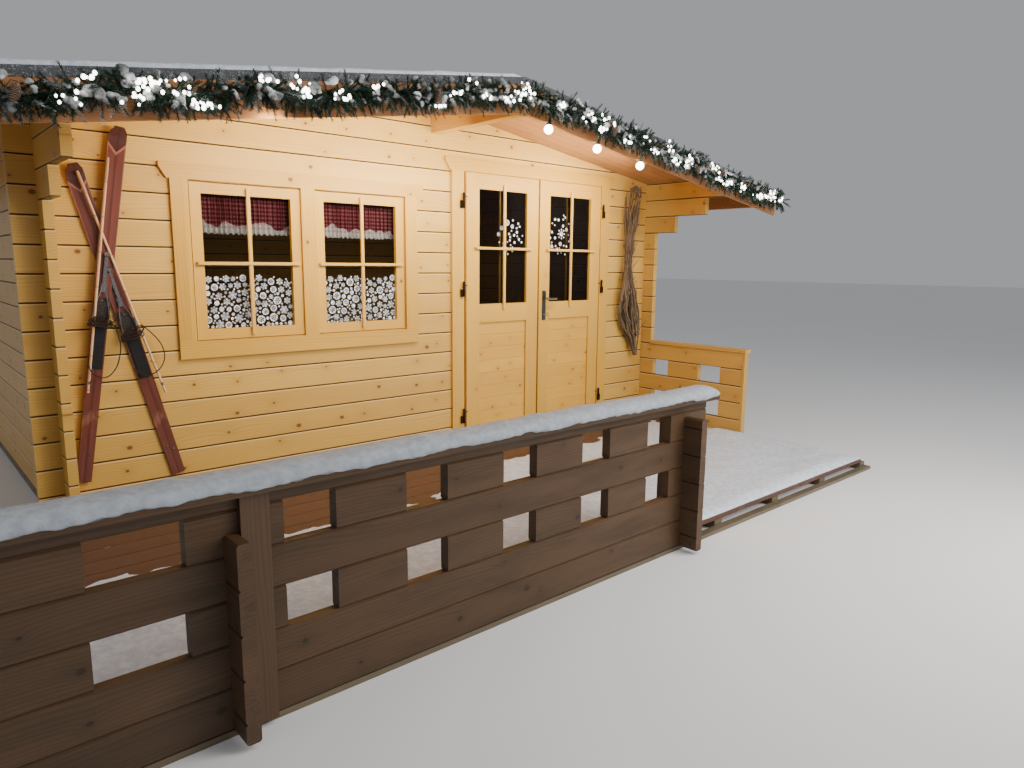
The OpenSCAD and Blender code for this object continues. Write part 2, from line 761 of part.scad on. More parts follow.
hub_r = lever_r + 2;
module door_handle_lever() color(steel) {
  inside_y = leaf_y + leaf_t + lever_out;
  translate([lever_x, leaf_y - lever_out, lever_axis_z]) rotate([-90, 0, 0])
    cylinder(r = spindle_r, h = leaf_t + 2 * lever_out, $fn = 48);
  for (y = [leaf_y - lever_out, inside_y])
    translate([lever_x, y, lever_axis_z]) {
      rotate([0, 90, 0]) cylinder(r = lever_r, h = lever_l, $fn = 48);
      translate([0, -hub_r, 0]) rotate([-90, 0, 0]) cylinder(r = hub_r, h = 2 * hub_r, $fn = 48);
    }
}

// Terrace: joists along Y, a sill under the front railing, and deck boards along X.
rail_face_y = front_y - terrace_d;
rail_back_y = rail_face_y + log_t;
rail_right_x = doorway_x - rail_to_door;
left_stub_x = -half_w + stub_inset;
bay_len = 2 * (bay_inset + bay_gap_w) + bay_block;
far_stub_x = left_stub_x - bay_len - log_t;
right_stub_x = rail_right_x - rail_end - log_t;
deck_left = far_stub_x;
deck_right = half_w - log_t - deck_gap;
joist_pitch = (half_w - bearer_w - deck_left) / (joist_count - 1);
module terrace_joists() color(weathered) {
  for (i = [0:joist_count - 1])
    translate([deck_left + i * joist_pitch, rail_back_y, 0])
      cube([bearer_w, front_y - rail_back_y, bearer_h]);
  translate([deck_left - rail_end, rail_face_y, 0])
    cube([half_w - deck_left + rail_end, log_t, rail_sill_h]);
}

deck_rows = floor((front_y - rail_back_y - deck_gap) / (deck_board_w + deck_gap));
module terrace_deck() color(deck_brown) difference() {
  for (i = [0:deck_rows - 1])
    translate([deck_left, rail_back_y + deck_gap + i * (deck_board_w + deck_gap), base_z])
      cube([deck_right - deck_left, deck_board_w, deck_t]);
  for (x = [far_stub_x, left_stub_x, right_stub_x])
    translate([x - deck_gap, rail_back_y - 1, 0])
      cube([log_t + 2 * deck_gap, stub_reach + deck_gap + 1, big]);
  translate([-half_w - deck_gap, front_y - log_end - deck_gap, 0])
    cube([log_t + 2 * deck_gap, log_end + deck_gap + 1, big]);
  translate([casing_left_x - deck_gap, front_y - casing_t - deck_gap, 0])
    cube([casing_right_x + door_casing_w - casing_left_x + 2 * deck_gap, casing_t + deck_gap + 1, big]);
}

// Openings between the blocks of the front railing: [left edge, width] each.
main_gaps = [for (i = [0:gap_count - 1]) [right_stub_x - gap_inset - gap_w - i * gap_pitch, gap_w]];
bay_gaps = [
  [left_stub_x - bay_inset - bay_gap_w, bay_gap_w],
  [left_stub_x - bay_inset - 2 * bay_gap_w - bay_block, bay_gap_w]
];
rail_top = rail_sill_h + rail_courses * log_h + rail_strip_h;

// The front railing: two rows of blocks between whole logs.
module front_railing() color(weathered) difference() {
  logs_x(far_stub_x - rail_end, rail_right_x, rail_face_y, rail_sill_h, rail_top, rail_sill_h + log_h);
  for (g = concat(main_gaps, bay_gaps)) for (course = [rail_courses - 3, rail_courses - 1])
    translate([g[0], rail_face_y - 1, rail_sill_h + course * log_h]) cube([g[1], log_t + 2, log_h]);
}

// Short logs that cross the front railing, half a course off its own joints.
stub_top = rail_sill_h + (rail_courses - 0.5) * log_h;
module stub(x, top) difference() {
  logs_y(rail_face_y - stub_reach, rail_back_y + stub_reach, x, rail_sill_h, top, rail_sill_h + log_h / 2);
  translate([x - 1, rail_face_y, 0]) cube([log_t + 2, log_t, big]);
  translate([x - 1, rail_face_y, 0]) cube([log_t + 2, log_t + stub_reach + 1, base_z]);
}
module railing_stubs() color(weathered) {
  stub(far_stub_x, stub_top);
  stub(left_stub_x, stub_top);
  stub(right_stub_x, stub_top + stub_rise);
}

module front_railing_cap() color(weathered)
  translate([far_stub_x - rail_end - cap_over, rail_face_y + (log_t - cap_w) / 2, rail_top])
    cube([rail_right_x - far_stub_x + rail_end + 2 * cap_over, cap_w, cap_t]);

// The side railing continues the right wall's logs, in the same courses.
side_rail_y = front_y - log_end;
side_rail_top = base_z + side_rail_courses * log_h;
side_end_y = side_rail_y - side_rail_l;
side_gap_1_y = side_rail_y - side_first_block - side_gap_1;
side_gap_2_y = side_gap_1_y - side_block - side_gap_2;
module side_railing() color(pine) difference() {
  logs_y(side_end_y, side_rail_y, half_w - log_t, base_z, side_rail_top, base_z + log_h);
  for (course = [side_rail_courses - 4, side_rail_courses - 2]) {
    translate([half_w - log_t - 1, side_gap_1_y, base_z + course * log_h])
      cube([log_t + 2, side_gap_1, log_h]);
    translate([half_w - log_t - 1, side_gap_2_y, base_z + course * log_h])
      cube([log_t + 2, side_gap_2, log_h]);
  }
}

module side_railing_cap() color(pine_pale)
  translate([half_w - (log_t + side_cap_w) / 2, side_end_y - end_board_t - side_cap_over, side_rail_top])
    cube([side_cap_w, side_rail_l + end_board_t + side_cap_over, cap_t]);

// Upright boards: one on the side railing's end, one beside the left stub of the front railing.
module railing_end_boards() color(pine) {
  translate([half_w - (log_t + side_end_w) / 2, side_end_y - end_board_t, base_z])
    cube([side_end_w, end_board_t, side_rail_top - base_z]);
  translate([left_stub_x + log_t, rail_face_y - end_board_t, rail_sill_h])
    cube([end_board_w, end_board_t, rail_top - rail_sill_h]);
}

// The fir garland as a plain soft body in front of the fascia.
module garland(side) {
  x_end = roof_half - garland_inset;
  high = roof_board_rise;
  low = high - garland_h - felt_lip / 2;
  translate([0, fascia_front_y - felt_t, 0]) rotate([90, 0, 0]) linear_extrude(garland_t)
    polygon([[0, ridge_z + low], [side * x_end, soffit_z(x_end) + low],
             [side * x_end, soffit_z(x_end) + high], [0, ridge_z + high]]);
}
module garland_left() color(fir_green) garland(-1);
module garland_right() color(fir_green) garland(1);

// Three lamps under the fascia, each on a short socket.
module hanging_lamps() color("white")
  for (i = [0:2]) {
    x = doorway_x - lamp_to_door + i * lamp_pitch;
    z = soffit_z(x) + roof_board_rise - fascia_h - lamp_drop;
    translate([x, fascia_front_y + fascia_t / 2, z]) sphere(r = lamp_r, $fn = 32);
    difference() {
      translate([x, fascia_front_y + fascia_t / 2, z])
        cylinder(r = fascia_t / 2, h = lamp_drop + fascia_t / 2, $fn = 32);
      fascia(fascia_front_y);
    }
  }

// Old wooden skis, crossed on the wall: a tapered plank with a curled, blunt tip.
ski_tip_h = ski_tip_r * sin(ski_tip_angle);
module ski(l) intersection() {
  union() {
    translate([-ski_w / 2, -ski_t, 0]) cube([ski_w, ski_t, l]);
    translate([-ski_w / 2, -ski_t - ski_tip_r, l]) rotate([0, 90, 0]) rotate([0, 0, 90])
      rotate_extrude(angle = ski_tip_angle, $fn = 96) translate([ski_tip_r, 0]) square([ski_t, ski_w]);
  }
  translate([0, 1, 0]) rotate([90, 0, 0]) linear_extrude(ski_tip_r)
    polygon([[-ski_tail_w / 2, 0], [ski_tail_w / 2, 0], [ski_w / 2, l],
             [ski_w * 0.48, l + ski_tip_h * 0.5], [(ski_w + ski_tip_w) * 0.28, l + ski_tip_h * 0.8],
             [ski_tip_w / 2, l + ski_tip_h], [ski_tip_w * 0.45, l + 1.2 * ski_tip_h],
             [-ski_tip_w * 0.45, l + 1.2 * ski_tip_h], [-ski_tip_w / 2, l + ski_tip_h],
             [-(ski_w + ski_tip_w) * 0.28, l + ski_tip_h * 0.8], [-ski_w * 0.48, l + ski_tip_h * 0.5],
             [-ski_w / 2, l]]);
}
module ski_lower() color(ski_brown)
  translate([-half_w + ski_lower_x, front_y - wall_gap, base_z + ski_lower_z])
    rotate([0, -ski_lower_lean, 0]) ski(ski_lower_l);
module ski_upper() color(ski_brown)
  translate([-half_w + ski_upper_x, front_y - ski_t - 2 * wall_gap, base_z + ski_upper_z])
    rotate([0, ski_upper_lean, 0]) ski(ski_upper_l);

// Two ski poles, crossed in front of the skis.
pole_y = front_y - 2 * ski_t - pole_r - 3 * wall_gap;
module ski_poles() color("tan") {
  translate([-half_w + pole_left_x, pole_y - 2 * pole_r - wall_gap, base_z + pole_left_z])
    rotate([0, pole_left_lean, 0]) cylinder(r = pole_r, h = pole_l, $fn = 24);
  translate([-half_w + pole_right_x, pole_y, base_z + pole_right_z])
    rotate([0, -pole_right_lean, 0]) cylinder(r = pole_r, h = pole_l, $fn = 24);
}

// Short curtains on a rod behind each sash.
module window_curtains() color(gingham_red)
  for (x = [sash_left_x, sash_right_x])
    translate([x + stop_w - sash_gap, front_y + log_t + jamb_inside, base_z + sash_z + sash_h - curtain_drop])
      cube([sash_w + 2 * sash_gap - 2 * stop_w, curtain_t, curtain_drop]);

// A hanging bundle of dry twigs beside the door: spread at the top, tied, and tangled below the tie.
corner_x = half_w - log_t;
casing_end_x = casing_right_x + door_casing_w;
twigs_x = (casing_end_x + corner_x) / 2;
twigs_r = (corner_x - casing_end_x) * twigs_share / 2;
twigs_z = base_z + twigs_top - twigs_l;
twigs_tangle_h = twigs_l * 0.26;
twigs_tie_h = twigs_l * 0.3;
twigs_tail_r = twigs_r * 0.4;
twigs_tie_r = twigs_r * 0.3;
module twig_bundle() color(iron)
  translate([twigs_x, front_y - twigs_r - wall_gap, twigs_z]) {
    cylinder(r1 = twigs_tail_r, r2 = twigs_r, h = twigs_tangle_h, $fn = 24);
    translate([0, 0, twigs_tangle_h]) {
      cylinder(r1 = twigs_r, r2 = twigs_tie_r, h = twigs_tie_h, $fn = 24);
      translate([0, 0, twigs_tie_h])
        cylinder(r1 = twigs_tie_r, r2 = twigs_r, h = twigs_l - twigs_tangle_h - twigs_tie_h, $fn = 24);
    }
  }

floor_bearers();
floor_boards();
front_wall_left();
front_wall_right();
front_gable();
back_wall();
left_wall();
right_wall();
ridge_purlin();
roof_boards_left();
roof_boards_right();
roof_felt();
front_fascia();
back_fascia();
eaves_boards();
window_frame();
window_casing();
window_sash_left();
window_sash_right();
window_glass();
door_frame();
door_casing();
door_threshold();
door_hinge_pins();
door_left_frame();
door_left_panel();
door_left_glass();
door_left_hinges();
door_right_frame();
door_right_panel();
door_right_glass();
door_right_hinges();
door_handle_plates();
door_handle_lever();
terrace_joists();
terrace_deck();
front_railing();
railing_stubs();
front_railing_cap();
side_railing();
side_railing_cap();
railing_end_boards();
garland_left();
garland_right();
hanging_lamps();
ski_upper();
ski_lower();
ski_poles();
window_curtains();
twig_bundle();
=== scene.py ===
import math
import random

import bmesh
import bpy
from bpy.props import FloatProperty, FloatVectorProperty, IntProperty, PointerProperty
from mathutils import Matrix, Vector, noise


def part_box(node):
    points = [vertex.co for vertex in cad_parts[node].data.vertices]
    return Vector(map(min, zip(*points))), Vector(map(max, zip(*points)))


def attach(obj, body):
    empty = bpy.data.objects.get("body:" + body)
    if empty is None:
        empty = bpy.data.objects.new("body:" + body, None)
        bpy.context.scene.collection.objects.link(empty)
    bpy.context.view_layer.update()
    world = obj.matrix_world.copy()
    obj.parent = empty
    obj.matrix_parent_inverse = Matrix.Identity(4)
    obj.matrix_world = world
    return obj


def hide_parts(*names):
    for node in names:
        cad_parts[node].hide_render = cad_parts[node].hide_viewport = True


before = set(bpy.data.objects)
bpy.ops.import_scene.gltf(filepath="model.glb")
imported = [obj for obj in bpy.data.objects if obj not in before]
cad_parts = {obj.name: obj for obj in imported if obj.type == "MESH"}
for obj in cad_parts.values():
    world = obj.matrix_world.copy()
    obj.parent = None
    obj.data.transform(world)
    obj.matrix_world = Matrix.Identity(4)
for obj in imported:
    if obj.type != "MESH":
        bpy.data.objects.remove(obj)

bl_info = {
    "name": "Wooden Market Hut",
    "version": (1, 0, 0),
    "blender": (4, 5, 0),
    "location": "View3D > Sidebar > Market Hut",
    "description": "Finishes, fittings, winter dressing, stage and camera of a log-built market hut",
    "category": "Object",
}

# Carcass, in metres: the origin is the middle of the footprint, X runs right along the front wall.
BASE_Z = 0.045
LOG_H = 0.134
LOG_SEAM = 0.0046
RIDGE_Z = 2.3898
SLOPE = 0.14945
FELT_UP = 0.0222
FASCIA_Y = -2.362
ROOF_SNOW_X, ROOF_SNOW_Y = (-2.775, 2.775), (-2.300, 1.745)
DECK_Z = 0.073

SASHES = ((-1.568, -0.959), (-0.869, -0.260))
SASH_FRAME = 0.057
SASH_Z = (0.965, 1.791)
SASH_FACE_Y = -1.504
LEAVES = (("left_leaf", 0.235, 0.910), ("right_leaf", 0.919, 1.594))
LEAF_STILE = 0.113
LEAF_LIGHT_Z = (1.102, 1.890)
LEAF_FACE_Y = -1.524
HINGE_Y = -1.532
HINGE_Z = (0.320, 1.210, 1.805)
KEY_X, KEY_Z = 0.978, 1.010

RAIL_Y = (-3.516, -3.472)
RAIL_END_X = 0.177
RAIL_Z = 0.020
RAIL_GAPS = [(-0.278 - k * 0.433, -0.106 - k * 0.433) for k in range(5)]
RAIL_GAPS += [(-2.535, -2.291), (-3.044, -2.800)]
CAP = ((-3.367, -3.5615), (0.222, -3.4265), 0.765)

LOWER_SKI = {"tail": (-1.712, 0.262), "lean": -13.7, "face": -1.5143, "length": 1.520}
UPPER_SKI = {"tail": (-2.161, 0.300), "lean": 9.2, "face": -1.5286, "length": 1.645}
POLES = (((-2.114, 0.747), 8.6, -1.5472), ((-1.757, 0.708), -16.4, -1.5349))
POLE_LENGTH = 1.130
CONES = ((2.415, 0.075, -0.35), (1.52, 0.105, 0.4), (0.66, 0.085, -0.2))
LAMPS = ((0.198, 2.158), (0.622, 2.095), (1.046, 2.032))
LAMP_Y = -2.347

# Camera of the photographed view: place, tilts in degrees and lens in millimetres.
EYE = (-2.87, -5.5, 1.385)
TILTS = (9.43949, -41.6239, 0.53797)
LENS = 25.4246


def roof_z(x):
    """Height of the felt's upper face above the ground at x."""
    return RIDGE_Z + FELT_UP - SLOPE * abs(x)


def length(name, about, value, low, high):
    """A length in metres that a user would change."""
    return FloatProperty(name=name, description=about, default=value, min=low, max=high, unit="LENGTH")


def number(name, about, value, low, high):
    """A count that a user would change."""
    return IntProperty(name=name, description=about, default=value, min=low, max=high)


def paint(name, about, *value):
    """A base colour in linear light."""
    return FloatVectorProperty(
        name=name, description=about, default=value, subtype="COLOR", min=0.0, max=1.0)


class HutSizes(bpy.types.PropertyGroup):
    """Sizes of the fittings and the dressing that a user would change."""

    bar_width: length("Glazing bar", "Width of the thin bars in front of the lights", 0.022, 0.012, 0.05)
    bar_lap: length("Bar lap", "How far a glazing bar laps onto the sash or leaf", 0.040, 0.01, 0.055)
    valance_drop: length("Valance drop", "Height of the short curtains, lace included", 0.260, 0.1, 0.4)
    roof_snow: length("Roof snow", "Depth of the snow on the roofing felt", 0.040, 0.01, 0.06)
    cap_snow: length("Cap snow", "Depth of the snow on the railing's cap", 0.036, 0.01, 0.06)
    sprigs: number("Fir sprigs", "Sprigs on each half of the garland", 1050, 100, 1500)
    needle: length("Needle length", "Length of one needle of the garland", 0.020, 0.01, 0.04)
    fairy_lights: number("Fairy lights", "Small lights on each half of the garland", 150, 20, 400)
    twigs: number("Twigs", "Shoots in the bundle beside the door", 46, 10, 80)


class HutColours(bpy.types.PropertyGroup):
    """Base colours of the main finishes, in linear light."""

    pine_light: paint("Pine, light", "Early wood of the lacquered boards", 0.74, 0.450, 0.105)
    pine_deep: paint("Pine, deep", "Late wood of the lacquered boards", 0.50, 0.240, 0.045)
    knot: paint("Knots", "Heart of a knot", 0.16, 0.050, 0.014)
    soffit: paint("Soffit", "Honey stain of the roof boards and fascias", 0.46, 0.200, 0.075)
    # The railing colour is weathered wood, darkened further as painted shade.
    railing: paint("Railing", "Weathered boards of the front railing", 0.072, 0.038, 0.017)
    deck: paint("Deck", "Red-brown stain of the terrace", 0.115, 0.056, 0.038)
    ski: paint("Skis", "Old red-brown varnish", 0.150, 0.042, 0.028)
    fir: paint("Fir", "Needles of the garland", 0.010, 0.032, 0.017)
    check: paint("Gingham", "Deep check of the short curtains", 0.150, 0.014, 0.022)


def sizes():
    return bpy.context.scene.hut_sizes


def colours():
    return bpy.context.scene.hut_colours


def tone(colour, by=1.0):
    """A colour of four values, brightened or darkened."""
    return tuple(min(1.0, c * by) for c in colour[:3]) + (1.0,)


def summed(operation, swapped=False):
    """An operator of Wire that adds one Math node."""
    def apply(self, other):
        return self.board.math(operation, *((other, self) if swapped else (self, other)))
    return apply


class Wire:
    """A socket of a material that takes part in sums by adding Math nodes."""

    def __init__(self, board, socket):
        self.board = board
        self.socket = socket

    __add__, __radd__ = summed("ADD"), summed("ADD", True)
    __sub__, __rsub__ = summed("SUBTRACT"), summed("SUBTRACT", True)
    __mul__, __rmul__ = summed("MULTIPLY"), summed("MULTIPLY", True)
    __truediv__ = summed("DIVIDE")
    __gt__, __lt__ = summed("GREATER_THAN"), summed("LESS_THAN")

    def out(self, name):
        return Wire(self.board, self.socket.node.outputs[name])


class Board:
    """One material and the nodes that draw it."""

    def __init__(self, name):
        self.material = bpy.data.materials.new(name)
        self.material.use_nodes = True
        self.tree = self.material.node_tree
        self.tree.nodes.clear()
        self.place = self.node("ShaderNodeTexCoord", out="Object")
        self.x, self.y, self.z = self.axes(self.place)

    def node(self, kind, settings=None, sockets=None, out=0):
        made = self.tree.nodes.new(kind)
        for key, value in (settings or {}).items():
            if key == "stops":
                ramp = made.color_ramp
                while len(ramp.elements) < len(value):
                    ramp.elements.new(0.5)
                for stop, (position, colour) in zip(ramp.elements, value):
                    stop.position = position
                    stop.color = colour
            else:
                setattr(made, key, value)
        for key, value in (sockets or {}).items():
            if isinstance(value, Wire):
                self.tree.links.new(value.socket, made.inputs[key])
            else:
                made.inputs[key].default_value = value
        return Wire(self, made.outputs[out])

    def math(self, operation, *values):
        return self.node("ShaderNodeMath", {"operation": operation}, dict(enumerate(values)))

    def axes(self, vector):
        parts = self.node("ShaderNodeSeparateXYZ", sockets={0: vector})
        return parts, parts.out("Y"), parts.out("Z")

    def point(self, x, y, z=0.0):
        return self.node("ShaderNodeCombineXYZ", sockets={0: x, 1: y, 2: z})

    def mix(self, factor, a, b):
        return self.node(
            "ShaderNodeMix", {"data_type": "RGBA", "clamp_factor": True}, {0: factor, 6: a, 7: b}, out=2)

    def layers(self, colour, *over):
        """A colour with others laid over it, each listed as (share, colour)."""
        for share, other in over:
            colour = self.mix(share, colour, other)
        return colour

    def cloud(self, scale, detail=2.0, rough=0.55, at=None):
        """Noise of one scale all ways."""
        return self.node("ShaderNodeTexNoise", sockets={
            "Vector": at or self.place, "Scale": scale, "Detail": detail, "Roughness": rough})

    def streak(self, x, y, z=0.0, detail=1.0, rough=0.55):
        """Noise with a scale of its own each way."""
        return self.cloud(1.0, detail, rough, self.point(x, y, z))

    def luck(self, row):
        """One random value for each whole number."""
        return self.node("ShaderNodeTexWhiteNoise", {"noise_dimensions": "1D"}, {"W": row})

    def cells(self, x, y, scale, spread, out=0):
        """A flat cell pattern."""
        return self.node(
            "ShaderNodeTexVoronoi", {"voronoi_dimensions": "2D"},
            {"Vector": self.point(x, y), "Scale": scale, "Randomness": spread}, out=out)

    def fade(self, value, start, end):
        """0 up to start, 1 from end on, smooth between."""
        return self.node(
            "ShaderNodeMapRange", {"interpolation_type": "SMOOTHSTEP"},
            {0: value, 1: start, 2: end, 3: 0.0, 4: 1.0})

    def ramp(self, value, *stops):
        return self.node("ShaderNodeValToRGB", {"stops": stops}, {0: value})

    def surface(self, colour, rough, height=None, strength=0.3, distance=0.002, **more):
        """Closes the material with one Principled shader and a bump from height."""
        given = {"Base Color": colour, "Roughness": rough}
        given.update((key.replace("_", " ").title(), value) for key, value in more.items())
        if height is not None:
            given["Normal"] = self.node(
                "ShaderNodeBump", sockets={"Height": height, "Strength": strength, "Distance": distance})
        return self.close(self.node("ShaderNodeBsdfPrincipled", sockets=given))

    def close(self, shader):
        output = self.tree.nodes.new("ShaderNodeOutputMaterial")
        self.tree.links.new(shader.socket, output.inputs["Surface"])
        return self.material


RINGS = 85.0
SPREAD = 0.30
KNOT_EVERY = 0.30
SEAM_DARK = (0.045, 0.016, 0.005, 1.0)
# Colour of the painted highlight just below each seam.
SEAM_PAINTED_HIGHLIGHT = (0.95, 0.80, 0.52, 1.0)


def wood(name, along, light, deep, pitch=LOG_H, start=BASE_Z, seam=0.0, knots=0.8, knot_size=1.0,
         rough=0.42, flat=False, upright=(), wear=0.0, wear_colour=(0.10, 0.075, 0.05, 1.0), bump=0.25,
         coat=0.0, aged=None, heart=None):
    """Boards of resinous softwood: early and late wood, fibres, knots, a tint for each board.

    The boards are pitch wide from start on. flat says that they lie side by side along Y, upright lists
    (x0, x1, z0, z1) of members with vertical grain, and aged gives a limit in x and the two colours
    left of it.
    """
    board = Board(name)
    x, y, z = board.x, board.y, board.z
    dark = tone(aged[2] if aged else deep, 0.8)
    if aged:
        limit, old_light, old_deep = aged
        old = x < limit
        light, deep = board.mix(old, light, old_light), board.mix(old, deep, old_deep)
    u, v, w = {"X": (x, z, y), "Y": (y, z, x), "Z": (z, x, y)}[along]
    mask = 0.0
    for x0, x1, z0, z1 in upright:
        mask = (x > x0) * (x < x1) * (z > z0) * (z < z1) + mask
    if upright:
        mask = board.math("MINIMUM", mask, 1.0)
        u, v = z * mask + x * (1.0 - mask), x * mask + z * (1.0 - mask)
    if flat:
        v, w = y, z
    luck = board.luck(board.math("FLOOR", (v - start) / pitch) * 3.17 + mask * 7.7)
    slide = luck * 9.0
    sway = board.streak(u * 0.85 + slide, v * 8.5 + slide, w * 6.0, 1.5)
    cell = board.cells(u / KNOT_EVERY + slide, (v - start) / pitch, 1.0, 0.85, "Position")
    cu, cv, _ = board.axes(cell)
    du = (u / KNOT_EVERY + slide - cu) * KNOT_EVERY
    dv = ((v - start) / pitch - cv) * pitch
    far = board.math("SQRT", du * du * 0.6 + dv * dv)
    size, pick, _ = board.axes(cell.out("Color"))
    radius = (size * size * 0.0070 + 0.0042) * knot_size
    present = pick > (1.0 - knots)
    knot = (1.0 - board.fade(far / radius, 0.75, 1.35)) * present
    swirl = present / (far * far * 2600.0 + 1.0)
    ring = board.math("SINE", (v * RINGS + sway * 7.5 + swirl * 1.6) * 6.2832) * 0.5 + 0.5
    ring = ring * ring
    fibre = board.streak(u * 7.0 + slide, v * 190.0, w * 190.0)
    broad = board.streak(u * 1.3 + slide, v * 10.0, w * 5.0)
    depth = (ring * 0.42 + fibre * 0.22 + broad * 0.62 - 0.28) * 0.85
    colour = board.layers(light, (depth, deep), (luck * SPREAD, dark), (swirl * 0.40, dark),
                          (knot * 0.86, heart or tone(colours().knot)))
    height = ring * 0.20 + fibre * 0.5 - knot * 0.35
    if seam:
        edge = board.math("PINGPONG", v - start, pitch / 2.0)
        joint = 1.0 - board.fade(edge, seam * 0.6, seam)
        shoulder = board.math("FRACT", (v - start) / pitch)
        # Below each dark joint a narrow band is lightened: a painted highlight where the lower board's
        # upper edge would catch the light.
        painted_seam_highlight = board.fade(shoulder, 0.915, 0.945) * (1.0 - joint) * 0.60
        colour = board.layers(colour, (painted_seam_highlight, light), (painted_seam_highlight * 0.5, SEAM_PAINTED_HIGHLIGHT), (joint * 0.92, SEAM_DARK))
        height = height - joint * 4.0
    gloss = fibre * 0.10 + ring * 0.05 + (rough - 0.08)
    if wear:
        grime = board.streak(u * 2.2, v * 13.0, w * 13.0, 4.0, 0.62)
        grime = board.fade(grime, 0.38, 0.72) * wear
        colour = board.mix(grime, colour, wear_colour)
        gloss = gloss + grime * 0.25
    return board.surface(colour, gloss, height, bump, 0.0012, coat_weight=coat, coat_roughness=0.25)


def plain_material(name, colour, rough, metallic=0.0, speckle=0.5, bump=0.15, scale=200.0, second=None):
    """Paint or metal with a fine cloudy variation."""
    board = Board(name)
    cloud = board.cloud(scale, 3.0)
    tint = board.mix(board.fade(cloud, 0.35, 0.68) * speckle, tone(colour), second or tone(colour, 0.72))
    return board.surface(tint, cloud * 0.18 + (rough - 0.09), cloud, bump, 0.0008, metallic=metallic)


def snow_material(name="snow", tint=(0.56, 0.61, 0.68, 1.0)):
    """Fresh snow: lumpy, a little translucent."""
    board = Board(name)
    fine = board.cloud(260.0, 3.0, 0.6)
    lump = board.cloud(34.0, 3.0)
    colour = board.mix(board.fade(lump, 0.3, 0.7), tint, tone(tint, 1.28))
    return board.surface(
        colour, fine * 0.2 + 0.55, fine * 0.35 + lump, 0.55, 0.006, subsurface_weight=0.15,
        subsurface_radius=(0.010, 0.012, 0.016), subsurface_scale=1.0)


def crust_material():
    """Grey, half-melted snow on the garland."""
    board = Board("garland_snow")
    fine = board.cloud(240.0, 3.0, 0.6)
    colour = board.ramp(
        board.cloud(11.0, 3.0, 0.6), (0.36, (0.075, 0.085, 0.080, 1)), (0.52, (0.26, 0.27, 0.27, 1)),
        (0.64, (0.66, 0.67, 0.69, 1)))
    return board.surface(colour, fine * 0.2 + 0.5, fine, 0.6, 0.004)


def felt_material():
    """Dark mineral grit with a faint rime."""
    board = Board("roofing_felt")
    grit = board.cloud(620.0, 2.0, 0.7)
    stone = board.ramp(
        grit, (0.30, (0.020, 0.022, 0.026, 1)), (0.50, (0.060, 0.065, 0.075, 1)),
        (0.72, (0.20, 0.21, 0.22, 1)))
    rime = board.cloud(150.0, 3.0, 0.6) + board.cloud(3.0) * 0.35
    colour = board.layers(
        stone, (board.fade(board.cloud(5.0, 3.0), 0.35, 0.7) * 0.35, (0.10, 0.10, 0.11, 1)),
        (board.fade(rime, 0.72, 0.86) * 0.35, (0.62, 0.64, 0.67, 1)))
    return board.surface(colour, grit * 0.1 + 0.82, grit, 0.8)


def deck_material():
    """Grooved terrace boards in red-brown stain, greyed along the grain, with snow blown into them."""
    c = colours().deck
    board = Board("terrace_boards")
    x, y, z = board.x, board.y, board.z
    luck = board.luck(board.math("FLOOR", y / 0.145))
    streak = board.streak(x * 1.6 + luck * 9.0, y * 38.0, z, 3.0)
    fine = board.streak(x * 12.0, y * 260.0, z)
    ribs = board.math("PINGPONG", y, 0.006) / 0.006
    drift = board.cloud(3.4, 5.0, 0.62) + board.fade(y, -2.35, -3.35) * 0.24
    snow = board.fade(drift + fine * 0.05, 0.66, 0.72) * (z > DECK_Z - 0.0015)
    colour = board.layers(
        tone(c, 1.5), (streak, tone(c, 0.6)), (luck * 0.4, tone(c, 0.8)),
        (board.fade(fine, 0.45, 0.8) * 0.35, (0.22, 0.19, 0.17, 1)), ((1.0 - ribs) * 0.35, tone(c, 0.35)),
        (snow, (0.86, 0.89, 0.93, 1)))
    return board.surface(
        colour, snow * 0.15 + fine * 0.15 + 0.5, ribs * 0.4 + fine * 0.2 + snow * 1.6, 0.45, 0.003)


def glass_material():
    """Float glass over a dark room: clear with a faint dark gloss that grows at flat angles."""
    board = Board("float_glass")
    ripple, index = board.cloud(3.0, 1.0) * 0.02 + 0.02, 1.5
    gloss = board.node("ShaderNodeBsdfPrincipled", sockets={
        "Base Color": (0.012, 0.010, 0.010, 1), "Roughness": ripple, "IOR": index})
    clear = board.node("ShaderNodeBsdfTransparent", sockets={"Color": (0.74, 0.74, 0.73, 1)})
    share = board.node("ShaderNodeFresnel", sockets={"IOR": index}) * 0.55 + 0.03
    return board.close(board.node("ShaderNodeMixShader", sockets={0: share, 1: clear, 2: gloss}))


def glow_material(name, colour, strength):
    """A lit bulb."""
    board = Board(name)
    cloud = board.cloud(90.0, 1.0)
    glow = board.mix(cloud, colour, tone(colour, 1.25))
    return board.surface(
        (0.9, 0.88, 0.82, 1.0), cloud * 0.1 + 0.3, emission_color=glow, emission_strength=strength)


def gingham_material():
    """Small red and white checks woven into cotton, with painted light: paler checks where the folds gather
    and towards the bottom.
    """
    c, pitch = colours().check, 0.0115
    board = Board("gingham")
    across, down, _ = board.axes(board.node("ShaderNodeUVMap"))
    warp, weft = (board.math("PINGPONG", way, pitch) > pitch / 2.0 for way in (across, down))
    thread = board.streak(across * 900.0, down * 900.0)
    deep = warp * weft
    half = warp + weft - 2.0 * deep
    bunch = board.streak(board.x * 9.0, 0.0, board.z * 5.0, 1.0, 0.5)
    # Painted light: patches where the folds gather, more of them lower down, turn to pale checks as if lit.
    painted_light_patches = board.fade(bunch + board.fade(board.z, 1.66, 1.54) * 0.46, 0.80, 0.84)
    pale = board.mix(deep, (1.0, 0.96, 0.96, 1), (0.84, 0.50, 0.53, 1))
    colour = board.layers(
        (0.46, 0.200, 0.215, 1), (half, (0.250, 0.036, 0.050, 1)), (deep, tone(c)), (painted_light_patches * 0.9, pale),
        (thread * 0.20, tone(c, 0.5)))
    return board.surface(colour, thread * 0.1 + 0.82, thread, 0.3, 0.0006)


